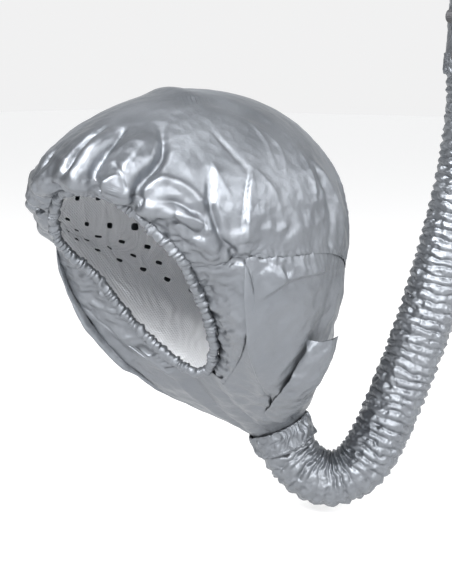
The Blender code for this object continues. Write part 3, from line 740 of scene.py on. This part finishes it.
def folded(points, normals, folds):
    return sum(
        fold_relief(points, normals, kind, high / 1000, wide / 1000, line) for kind, high, wide, line in folds
    )


def rear_folds():
    """Soft folds that run up the rear of the dome from its gathered seam, as places on the dome."""
    rng = np.random.default_rng(61)
    made = []
    for degrees in np.arange(126.0, 240.0, 8.0):
        foot_at = degrees + rng.uniform(-2.5, 2.5)
        lean = rng.uniform(-7, 7)
        foot = float(seam_row(np.radians(foot_at))) - 0.03
        top = foot - rng.uniform(0.25, 0.62)
        kind = "groove" if rng.random() < 0.6 else "crest"
        line = [(foot_at + lean, top), (foot_at + lean * 0.35, (top + foot) / 2), (foot_at, foot)]
        made.append((kind, rng.uniform(2.4, 4.4), rng.uniform(4.5, 8.0), line))
    return made


def duct_rear_folds(points, count, rows):
    """Long soft folds down the duct's rear, drawn together towards its outlet."""
    rng = np.random.default_rng(62)
    made = []
    for column in range(48, 142, 8):
        first = rng.integers(4, 24)
        last = rng.integers(rows - 22, rows - 3)
        drift = rng.uniform(-6, 6)
        line = []
        for row in np.linspace(first, last, 4):
            aside = drift * (row - first) / (last - first)
            line.append(points[(1 + int(row)) * count + int(column + aside)])
        kind = "groove" if rng.random() < 0.6 else "crest"
        made.append((kind, rng.uniform(2.4, 4.2), rng.uniform(4.5, 8.0), line))
    return made


def puckers(points, line, period, reach, height, seed):
    """Short pleats square to a sewn line, highest at the line."""
    travelled = travelled_along(line)
    relief = np.zeros(len(points))
    index = near_line(points, line, 3 * reach)
    for part in np.array_split(index, max(len(index) // 8000, 1)):
        away = np.linalg.norm(points[part][:, None, :] - line[None], axis=2)
        closest = np.argmin(away, axis=1)
        distance = away[np.arange(len(part)), closest]
        wander = lumps_at(points[part], seed, (0.018, 2.2), (0.007, 0.8))
        wave = np.abs(np.sin(travelled[closest] * math.pi / period + wander))
        uneven = 0.6 + 0.7 * noise_at(points[part], 0.03, seed + 2)
        ear = 0.45 + 0.75 * np.exp(-np.minimum(travelled[closest], travelled[-1] - travelled[closest]) / 0.07)
        relief[part] = height * (wave - 0.4) * uneven * ear * np.exp(-distance / reach)
    return relief


def rear_seam():
    """Points along the seam between bonnet and duct."""
    turns = np.radians(np.linspace(SEAM_START_DEG, 360 - SEAM_START_DEG, 360))
    return dome(turns, seam_row(turns))


def on_dome(folds, mirror=1, shift=0.0):
    """The folds with their places in metres; mirror -1 puts them on the -X side."""
    made = []
    for kind, height, width, line in folds:
        degrees, rows = np.array(line).T
        places = dome(np.radians(degrees * mirror + shift), rows)
        made.append((kind, height, width, places if mirror > 0 or kind != "step" else places[::-1]))
    return made


def subdivide(obj):
    """Catmull-Clark once, applied."""
    add_modifier(obj, "SUBSURF", "smooth", levels=1, render_levels=1, boundary_smooth="PRESERVE_CORNERS")
    graph = bpy.context.evaluated_depsgraph_get()
    finer = bpy.data.meshes.new_from_object(obj.evaluated_get(graph))
    obj.modifiers.clear()
    coarse = obj.data
    obj.data = finer
    bpy.data.meshes.remove(coarse)
    finer.shade_smooth()


def lift(obj, relief):
    """Moves each point out along its normal."""
    set_points(obj, points_of(obj) + normals_of(obj) * relief[:, None])


def bonnet_grid():
    """The bonnet's (points, angle, row, faces, sewn edge); its cheeks reach back to the nape."""
    step = 2 * math.pi / BONNET_COLUMNS
    turns = np.arange(BONNET_COLUMNS) * step
    seam = seam_row(turns)
    points = [CROWN]
    angles, rows = [0.0], [0.0]
    for k in range(1, BONNET_ROWS + 1):
        angles += list(turns)
        rows += list(seam * k / BONNET_ROWS)
        points += list(dome(turns, seam * k / BONNET_ROWS))
    faces = dome_faces(BONNET_ROWS, BONNET_COLUMNS)
    side = round(SEAM_START_DEG / 360 * BONNET_COLUMNS)
    columns = list(range(-side, side + 1))
    seam_start = len(points) - BONNET_COLUMNS
    edge = [seam_start + i for i in range(side, BONNET_COLUMNS - side + 1)]
    above = [seam_start + c % BONNET_COLUMNS for c in columns]
    # Behind the ear the panel hangs from the cheek edge instead of the dome
    shares = np.arange(1, CHEEK_COLUMNS + 1) / CHEEK_COLUMNS
    tops = cheek_edge(shares)
    hem_turns = np.radians(SEAM_START_DEG + (CHEEK_END_DEG - SEAM_START_DEG) * shares)
    for mirror in (1, -1):
        ids = list(range(len(points), len(points) + CHEEK_COLUMNS))
        points += list(tops * (mirror, 1, 1))
        angles += list(hem_turns * mirror)
        rows += [1.4] * CHEEK_COLUMNS
        edge += ids
        above = above + ids if mirror == 1 else ids[::-1] + above
    for k in range(1, CHEEK_ROWS + 1):
        share = k / CHEEK_ROWS
        start = len(points)
        for mirror in (-1, 0, 1):
            if mirror == 0:
                turn = np.array(columns) * step
                from_row = seam_row(turn)
                row = from_row + (2 - from_row) * share
                made = dome(turn, row)
            else:
                turn = hem_turns * mirror
                low = dome(turn, 2.0)
                high = tops * (mirror, 1, 1)
                bow = np.sin(share * math.pi) * 0.012 * np.sin(shares * math.pi)
                made = high + (low - high) * share
                made = made + unit(made - (0, 0.09, -0.21)) * bow[:, None]
                row = np.full(CHEEK_COLUMNS, 1.4 + 0.6 * share)
            if mirror == -1:
                made, turn, row = made[::-1], turn[::-1], row[::-1]
            points += list(made)
            angles += list(turn)
            rows += list(row)
        below = list(range(start, len(points)))
        for i in range(len(above) - 1):
            faces.append((above[i], below[i], below[i + 1], above[i + 1]))
        edge += [below[0], below[-1]]
        above = below
    edge += above
    return np.array(points), np.array(angles), np.array(rows), faces, sorted(set(edge))


FRAMES = 18
MOST_OUT = 0.014
MOST_IN = 0.009
STIFFNESS = 30.0
DAMPING = 8


def relax(obj, cut, pinned, pressure, bending):
    """Lets the sheet buckle as fabric cut larger than it is sewn, held at its pinned points."""
    frames = FRAMES
    start = points_of(obj)
    normals = normals_of(obj)
    obj.shape_key_add(name="sewn")
    key = obj.shape_key_add(name="cut")
    key.data.foreach_set("co", np.asarray(cut, float).ravel())
    group = obj.vertex_groups.new(name="sewn")
    group.add([int(i) for i in pinned], 1.0, "REPLACE")
    cloth = add_modifier(obj, "CLOTH", "fabric")
    settings = cloth.settings
    settings.rest_shape_key = key
    settings.vertex_group_mass = "sewn"
    settings.quality = 6
    settings.mass = 0.12
    for way, share in (("tension", 1), ("compression", 1), ("shear", 0.4)):
        setattr(settings, way + "_stiffness", STIFFNESS * share)
        setattr(settings, way + "_damping", DAMPING)
    settings.bending_stiffness = bending
    settings.air_damping = DAMPING / 2
    settings.use_pressure = True
    settings.uniform_pressure_force = pressure
    settings.effector_weights.gravity = 0
    cloth.point_cache.frame_start = 1
    cloth.point_cache.frame_end = frames
    for number in range(1, frames + 1):
        bpy.context.scene.frame_set(number)
    graph = bpy.context.evaluated_depsgraph_get()
    shaped = obj.evaluated_get(graph).to_mesh()
    moved = np.empty(len(shaped.vertices) * 3)
    shaped.vertices.foreach_get("co", moved)
    obj.modifiers.remove(cloth)
    obj.shape_key_clear()
    obj.vertex_groups.clear()
    bpy.context.scene.frame_set(1)
    shift = moved.reshape(-1, 3) - start
    out = np.sum(shift * normals, axis=1)
    capped = np.clip(out, -MOST_IN, MOST_OUT)
    shift += normals * (capped - out)[:, None]
    set_points(obj, start + shift)


def make_bonnet(material):
    base, angle, row, faces, edge = bonnet_grid()
    bonnet = make_mesh("bonnet_fabric", base, faces, np.stack([angle / math.pi * 0.5, row * 0.2], axis=1))
    normals = normals_of(bonnet)
    turn = np.degrees(np.mod(angle + math.pi, 2 * math.pi) - math.pi)
    face_side = 1 - smooth(70, 100, np.abs(turn))
    forehead = 1 - smooth(35, 60, np.abs(turn - 5))
    sewn = row > 1.999
    reach = smooth(0.7, 1.3, row) * (1 - smooth(1.6, 2.0, row)) * (0.25 + 0.75 * forehead) * face_side
    puffed = base + normals * ((gathers(angle) - 0.45) * 0.009 * reach)[:, None]
    pleats = np.sin(angle * 57 + noise_at(base, 0.022, 9) * 5)
    puffed += normals * (pleats * 0.0012 * smooth(1.5, 1.95, row) * ~sewn)[:, None]
    lumps = lumps_at(base, 12, (0.035, 0.003), (0.014, 0.0020))
    puffed += normals * (lumps * smooth(0.5, 1.2, row) * ~sewn)[:, None]
    puffed[edge] = base[edge]
    set_points(bonnet, puffed)
    # The cut sheet is wider than the sewn one towards the hem and, less so, along the rear seam
    uneven = 1 + 0.8 * noise_at(base * (1, 1, 0.4), 0.035, 14)
    loose = smooth(1.3, 1.97, row) * (0.25 + 0.35 * face_side) * uneven
    loose = loose * (0.35 + 0.65 * face_side) + smooth(0.9, 1.25, row) * 0.06 * (1 - face_side)
    wide = base.copy()
    middle = np.array((0.0, BULGE_CENTRE_Y))
    wide[:, :2] = middle + (base[:, :2] - middle) * (1 + loose)[:, None]
    relax(bonnet, wide, edge, pressure=1.6, bending=0.3)
    subdivide(bonnet)
    points = points_of(bonnet)
    folds = on_dome(BROW_FOLDS) + on_dome(SIDE_FOLDS) + on_dome(SIDE_FOLDS, -1, -2.5) + on_dome(CROWN_FOLDS)
    relief = folded(points, normals_of(bonnet), folds + on_dome(rear_folds()))
    busy = 0.35 + 0.65 * smooth(-0.1, 0.5, noise_at(points, 0.07, 31))
    low = smooth(0.0, -0.10, points[:, 2])
    relief += crushed_at(points, 41, (0.024, 0.0034), (0.010, 0.0013)) * busy * (0.35 + 0.65 * low)
    hem_line = hem_centre(np.linspace(-math.pi, math.pi, 400))[::4]
    gathered = np.exp(-distance_to(points, hem_line) / 0.030)
    relief += lumps_at(points, 33, (0.013, 0.0042), (0.007, 0.0016)) * gathered
    relief = relief * smooth(0.0, 0.012, distance_to(points, base[edge][::6]))
    relief += puckers(points, rear_seam(), 0.0085, 0.013, 0.0040, 35)
    lift(bonnet, relief)
    return stand_for(bonnet, material, "bonnet_shell")


# -------- duct


def outlet_ring(share, above=0.0):
    """A point of the duct's mouth; share 0 is the +X front corner, 0.5 the -X one, by way of the rear."""
    axis = outlet_axis()
    across = unit(np.array((1.0, 0, 0)) - axis * axis[0])
    back = unit(np.cross(across, axis))
    turn = 2 * math.pi * np.asarray(share)
    ring = across * np.cos(turn)[..., None] + back * np.sin(turn)[..., None]
    return OUTLET - axis * (HOSE_GAP + above) + ring * MOUTH_OF_DUCT


def duct_loop():
    """(top points, their shares of the outlet, how far they hang) round the duct's edge, from the +X ear."""
    rear, side, nape = DUCT_COLUMNS
    turns = np.radians(np.linspace(SEAM_START_DEG, 360 - SEAM_START_DEG, rear + 1))
    tops = list(dome(turns, seam_row(turns) + 0.015) - (0, 0, 0.001))
    shares = list(0.5 * np.arange(rear + 1) / rear)
    hang = list(1.1 - 0.6 * np.maximum(-np.cos(turns), 0))
    down = np.arange(1, side + 1) / side
    edge = cheek_edge(down)
    edge = edge + unit(edge - (0, -0.2, -0.1)) * 0.0015
    tops += list(edge * (-1, 1, 1))
    shares += list(0.5 + 0.17 * down)
    hang += list(0.9 - 0.7 * down)
    nape_turns = np.radians(np.linspace(-CHEEK_END_DEG, -360 + CHEEK_END_DEG, nape + 1))[1:-1]
    tops += list(dome(nape_turns, 2.0) + (0, 0.002, -0.004))
    shares += list(0.67 + 0.16 * np.arange(1, nape) / nape)
    hang += [0.2] * (nape - 1)
    tops += list(edge[::-1])
    shares += list(1 - 0.17 * down[::-1])
    hang += list(0.9 - 0.7 * down[::-1])
    return np.array(tops), np.array(shares), np.array(hang)


def duct_point(top, share, hang, level):
    """A point of the duct: level 0 is its sewn edge and 1 its mouth; hang 0 is straight between them."""
    end = outlet_ring(share, 0.009)
    middle = (top + end) / 2
    hung = top * (0.92, 1, 1)
    hung[..., 2] = top[..., 2] + (end[..., 2] - top[..., 2]) * 0.62
    control = middle + (hung - middle) * np.asarray(hang)[..., None]
    level = np.asarray(level)[..., None]
    return top * (1 - level) ** 2 + control * 2 * level * (1 - level) + end * level**2


def make_duct(material):
    tops, shares, hang = duct_loop()
    count = len(tops)
    rows = DUCT_ROWS
    levels = [(k / rows) ** 1.05 for k in range(rows + 1)]
    rings = [duct_point(tops, shares, hang, level) for level in levels]
    # The seam allowance, hidden under the bonnet's edge
    inward = unit(np.array((0.0, 0.09, -0.17)) - tops)
    rings.insert(0, tops + unit(rings[0] - rings[4]) * SEAM_ALLOWANCE + inward * 0.0025)
    rings += [outlet_ring(shares, 0.005), outlet_ring(shares)]
    base = np.concatenate(rings)
    level = np.repeat([0.0] + levels + [1.0, 1.0], count)
    around = np.tile(np.arange(count) / count, len(rings))
    uvs = np.stack([around, level * 0.3], axis=1)
    duct = make_mesh("duct_fabric", base, tube_faces(len(rings), count, inward=True), uvs)
    lumps = lumps_at(base, 21, (0.050, 0.004), (0.020, 0.0015))
    free = smooth(0, 0.15, level) * (1 - smooth(0.85, 1.0, level))
    set_points(duct, base + normals_of(duct) * (lumps * free)[:, None])
    # The cut sheet is wider than the sewn one, the most towards the mouth
    loose = 0.05 + 0.05 * noise_at(base * (1, 1, 0.3), 0.08, 23) + 0.14 * smooth(0.6, 1.0, level)
    middle = np.array((0.0, 0.10))
    middle = middle + (OUTLET[:2] - middle) * level[:, None]
    wide = base.copy()
    wide[:, :2] = middle + (base[:, :2] - middle) * (1 + loose)[:, None]
    pinned = list(range(2 * count)) + list(range(rows * count, len(base)))
    relax(duct, wide, pinned, pressure=0.8, bending=0.8)
    subdivide(duct)
    points = points_of(duct)
    mirrored = [(a, b, c, np.array(line) * (-1, 1, 1)) for a, b, c, line in DUCT_FOLDS if a != "step"]
    relief = folded(points, normals_of(duct), DUCT_FOLDS + mirrored + duct_rear_folds(points, count, rows))
    crushed = crushed_at(points, 51, (0.030, 0.0036), (0.012, 0.0012))
    relief += crushed * (0.4 + 0.6 * smooth(-0.2, 0.5, noise_at(points, 0.06, 32)))
    from_ends = distance_to(points, np.concatenate([base[:count:4], base[-count::4]]))
    gathered = puckers(points, rear_seam(), 0.0095, 0.018, 0.0046, 36)
    lift(duct, relief * smooth(0.0, 0.022, from_ends) + gathered * smooth(0.0, 0.010, from_ends))
    return stand_for(duct, material, "duct_shell", "duct_seam_binding")


# -------- hem, liner, fin, collars and cuff


def swept_tube(name, centres, directions, radii, closed):
    """A tube with its own radius at each station and side."""
    points = centres[:, None, :] + directions * radii[:, :, None]
    return make_mesh(name, points.reshape(-1, 3), tube_faces(*radii.shape, closed=closed))


def make_hem(material):
    """The casing of the elastic: narrow, and pushed up into short pleats all round."""
    stations = 1500
    sides = 28
    angle = np.linspace(-math.pi, math.pi, stations, endpoint=False)
    centre = hem_centre(angle)
    along = unit(np.roll(centre, -3, axis=0) - np.roll(centre, 3, axis=0))
    out = bulge_point(angle) - centre
    out[:, 2] = 0
    out = unit(out - along * np.sum(out * along, axis=1, keepdims=True))
    directions = fan(out, unit(np.cross(along, out)), sides)
    travelled = np.cumsum(np.linalg.norm(np.diff(centre, axis=0, append=centre[:1]), axis=1))
    lean = np.sin(2 * math.pi * np.arange(sides) / sides) * 0.0012
    wander = lumps_at(centre, 61, (0.018, 0.009), (0.007, 0.0022))
    pleat = np.abs(np.sin(((travelled + wander)[:, None] + lean) * math.pi / HEM_PLEAT))
    uneven = noise_at(centre[:, None, :] + directions * 0.005, 0.009, 63)
    radii = 0.0046 + 0.0018 * pleat * (0.8 + 0.9 * uneven) + 0.0011 * uneven
    return stand_for(swept_tube("hem_casing", centre, directions, radii, True), material, "face_hem")


def tuck_under(inner, outer, gap):
    """Moves the inner mesh in where it comes through the outer one, or within gap of it."""
    faces = [tuple(face.vertices) for face in outer.data.polygons]
    tree = BVHTree.FromPolygons(points_of(outer).tolist(), faces)
    points = points_of(inner)
    for i, point in enumerate(points):
        near, normal, _, away = tree.find_nearest(Vector(point), 0.012)
        if near is not None:
            inside = (near - Vector(point)).dot(normal)
            if inside < gap:
                points[i] -= np.array(normal) * (gap - inside)
    set_points(inner, points)


def make_liner(material):
    """The soft inner liner, with rows of air holes, sewn into the hem."""
    columns = 240
    rows = 84
    turns = np.arange(columns) * 2 * math.pi / columns
    raised = spread((0.004, 0.012, 0.020), turns)
    points = [dome(0.0, 0.0, 0.011)]
    for k in range(1, rows + 1):
        low = smooth(1.5, 2.0, 2 * k / rows)
        points += list(dome(turns, np.full(columns, 2 * k / rows), 0.011 - 0.008 * low, raised * (1 - low)))

    def kept(k, i):
        hole = 6 <= k <= 66 and k % 7 < 2 and (i + k // 7 % 2 * 4) % 8 < 2
        return not hole

    liner = make_mesh("liner_fabric", points, dome_faces(rows, columns, kept))
    subdivide(liner)
    points = points_of(liner)
    turn = np.arctan2(points[:, 0], BULGE_CENTRE_Y - points[:, 1])
    pleats = np.sin(turn * 44 + noise_at(points, 0.03, 71) * 4) * 0.0010 * smooth(-0.02, -0.12, points[:, 2])
    relief = lumps_at(points, 72, (0.045, 0.0030), (0.016, 0.0012)) + pleats
    relief *= smooth(0.0, 0.02, np.linalg.norm(points - CROWN, axis=1))
    lift(liner, -np.abs(relief) * 0.8)
    return stand_for(liner, material, "inner_liner")


def make_fin(material):
    """The pointed leaf of spare fabric on the duct: two layers, folded along its free edge."""
    rows = 60
    across = 24
    points = []
    uvs = []
    for i in range(rows + 1):
        share = i / rows
        root, edge = (spline(line, share) for line in zip(*FIN))
        for k in range(-across, across + 1):
            part = 1 - abs(k) / across
            puff = math.sin(math.pi * part) * 0.0028 + 0.0006 * min(1, abs(k) / 3)
            puff *= min(1, 6 * share + 0.25) * min(1, 6 * (1 - share) + 0.2)
            layer = 1 if k > 0 else -1
            bow = FIN_ACROSS * (layer * puff + 0.009 * math.sin(math.pi * part) ** 0.8)
            points.append(root + (edge - root) * part + bow)
            uvs.append((share * 0.3, (k + across) / across * 0.1))
    width = 2 * across + 1
    corners = [i * width + k for i in range(rows) for k in range(width - 1)]
    fin = make_mesh("fin_fabric", points, [(a, a + 1, a + 1 + width, a + width) for a in corners], uvs)
    places = points_of(fin)
    crushed = crushed_at(places, 81, (0.015, 0.0046)) + noise_at(places, 0.02, 82) * 0.0024
    set_points(fin, places + FIN_ACROSS * crushed[:, None])
    return stand_for(fin, material, "duct_fin")


def make_band(name, material, base, axis, low, high, radii, seed, pleats, depth, replaced):
    """A gathered band of fabric round an axis; radii are its mean radius at its low and high ends."""
    level = HOSE_PLANE if abs(axis @ HOSE_PLANE) < 0.9 else (0, 0, 1)
    across = unit(np.cross(axis, level))
    stations = max(int((high - low) / 0.0007), 12)
    sides = 300
    up = np.linspace(low, high, stations)
    turn = 2 * math.pi * np.arange(sides) / sides
    ring = fan(across, np.cross(axis, across), sides)
    mean = radii[0] + (radii[1] - radii[0]) * (up - low) / (high - low)
    flat = base + axis * up[:, None, None] + ring * mean[:, None, None]
    wave = np.sin(turn * pleats + noise_at(flat, 0.02, seed) * 5)
    relief = depth * (np.abs(wave) - 0.3) + depth * noise_at(flat, 0.011, seed + 1)
    relief += crushed_at(flat, seed + 2, (0.010, 1.6 * depth))
    relief = np.maximum(relief, -0.0004)
    rolled = np.minimum(up - low, high - up)[:, None]
    relief -= 0.0012 * np.exp(-((rolled / 0.0008) ** 2))
    stitched = np.exp(-(((rolled - 0.0035) / 0.0007) ** 2)) * (0.5 + 0.5 * np.sin(turn * 90))
    relief -= 0.0005 * stitched
    points = flat + ring * relief[:, :, None]
    band = make_mesh(name, points.reshape(-1, 3), tube_faces(stations, sides))
    add_modifier(band, "SOLIDIFY", "thickness", thickness=0.0008, offset=-1.0)
    return stand_for(band, material, replaced)


def make_channel(material):
    """The mouth's casing for the drawstring, gathered, with its window for the two tails."""
    stations = 420
    sides = 40
    middle = cuff_point(CUFF_LENGTH + 0.0004 + CHANNEL_HEIGHT / 2)
    turn = np.linspace(0, 2 * math.pi, stations, endpoint=False)
    out = np.stack([np.cos(turn), np.sin(turn), np.zeros(stations)], axis=1)[:, None, :]
    # A rounded oblong section, flat on top
    around = np.linspace(0, 2 * math.pi, sides, endpoint=False)
    cos, sin = np.cos(around), np.sin(around)
    across = np.sign(cos) * np.abs(cos) ** 0.6 * CHANNEL_DEPTH / 2
    up = np.sign(sin) * np.abs(sin) ** 0.6 * CHANNEL_HEIGHT / 2
    radius = MOUTH_RADIUS + 0.0015 - CHANNEL_DEPTH / 2 + across
    points = middle + out * radius[:, None] + np.array((0, 0, 1)) * up[:, None]
    wave = np.abs(np.sin(turn[:, None] * 27 + noise_at(points, 0.018, 91) * 4))
    relief = ((wave - 1) * 0.0007 + noise_at(points, 0.006, 92) * 0.0002) * cos**2
    points = points + out * (np.sign(cos) * relief)[:, :, None]
    window = math.radians(MOUTH_WINDOW_DEG)
    half_wide, half_tall = MOUTH_WINDOW_SIZE

    def kept(i, k):
        beside = abs(math.remainder(turn[i] - window, 2 * math.pi)) * MOUTH_RADIUS
        return beside >= half_wide or abs(up[k]) >= half_tall or cos[k] <= 0.2

    faces = tube_faces(stations, sides, closed=True, inward=True, keep=kept)
    channel = make_mesh("mouth_casing", points.reshape(-1, 3), faces)
    add_modifier(channel, "SOLIDIFY", "thickness", thickness=0.0006, offset=-1.0)
    return stand_for(channel, material, "drawstring_channel")


def make_lock_spring(material):
    """The lock's spring, which the button squeezes against the floor of the barrel."""
    low, high = (np.array(corner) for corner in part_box("cord_lock_spring"))
    centre = (low + high) / 2
    radius = (high[1] - low[1]) / 2 - SPRING_WIRE
    turn = np.linspace(0, 2 * math.pi * SPRING_TURNS, 40 * SPRING_TURNS + 1)
    turn = np.r_[turn[0], turn, turn[-1]]
    outs = np.stack([turn * 0, np.cos(turn), np.sin(turn)], axis=1)
    centres = centre + radius * outs
    centres[:, 0] = low[0] + SPRING_WIRE + (high[0] - low[0] - 2 * SPRING_WIRE) * turn / turn[-1]
    rise = np.full(len(turn), (high[0] - low[0]) / turn[-1])
    along = unit(np.stack([rise, -radius * np.sin(turn), radius * np.cos(turn)], axis=1))
    radii = np.full((len(turn), 10), SPRING_WIRE)
    radii[[0, -1]] = SPRING_WIRE / 50
    spring = swept_tube("lock_spring", centres, fan(outs, np.cross(along, outs), 10), radii, False)
    spring.data.materials.append(material)
    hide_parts("cord_lock_spring")
    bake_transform(spring)
    return spring


def cuff_point(height=0.0):
    """A point on the cuff's axis, above its foot."""
    along, up = HOSE_ROUTE[-1]
    return OUTLET + HOSE_PLANE * along + np.array((0, 0, up + HOSE_GAP + height))


def give(node, material, bevel=0.0):
    """The material for a CAD piece that stays, and rounded edges."""
    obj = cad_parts[node]
    obj.data.materials.clear()
    obj.data.materials.append(material)
    if bevel:
        add_modifier(obj, "BEVEL", "rounded", width=bevel, segments=3, limit_method="ANGLE", angle_limit=0.6)
        obj.data.shade_smooth()


make_camera()
make_stage()
SILVER = silver_material("silver_fabric", (0.120, 0.130, 0.145), (0.190, 0.201, 0.217), 0.44, 1.0)
HOSE_SILVER = silver_material("silver_hose", (0.120, 0.130, 0.145), (0.210, 0.222, 0.238), 0.38, 0.9)
LINING = knitted_material("liner_knit", (0.55, 0.56, 0.58), (0.74, 0.75, 0.77), 0.0009, 0.8)
ELASTIC = knitted_material("elastic_braid", (0.55, 0.55, 0.54), (0.78, 0.78, 0.77), 0.0008, 0.75)
STRING = knitted_material("drawstring_braid", (0.020, 0.020, 0.022), (0.060, 0.060, 0.065), 0.0010, 0.8)
BLACK = plastic_material("black_plastic", (0.020, 0.020, 0.022))
STEEL = wire_material()
hose = make_hose(HOSE_SILVER)
foot = cuff_point()
up = np.array((0.0, 0.0, 1.0))
held = (CUFF_BAND_RADIUS, CUFF_BAND_RADIUS)
tapered = (HOSE_RADIUS - 0.0008, MOUTH_RADIUS)
cuff_band = make_band("cuff_band", SILVER, foot, up, -0.018, 0.006, held, 111, 12, 0.0014, "cuff_collar")
cuff = make_band("cuff_fabric", HOSE_SILVER, foot, up, 0, CUFF_LENGTH, tapered, 121, 9, 0.0008, "cuff_sleeve")
mouth = make_channel(HOSE_SILVER)
lock_spring = make_lock_spring(STEEL)
declare_hose([cuff_band, cuff, mouth, lock_spring])

bonnet = make_bonnet(SILVER)
duct = make_duct(SILVER)
hem = make_hem(SILVER)
liner = make_liner(LINING)
tuck_under(liner, bonnet, 0.0012)
fin = make_fin(SILVER)
held = (BAND_RADIUS, BAND_RADIUS)
back = -outlet_axis()
reach = (-0.018, 0.010)
outlet_band = make_band("outlet_band", SILVER, OUTLET, back, *reach, held, 101, 11, 0.0021, "outlet_collar")

give("face_elastic", ELASTIC)
give("drawstring", STRING)
for node in BLACK_NODES:
    give(node, BLACK, 0.0004)
for node in HOOP_NODES:
    give(node, STEEL)
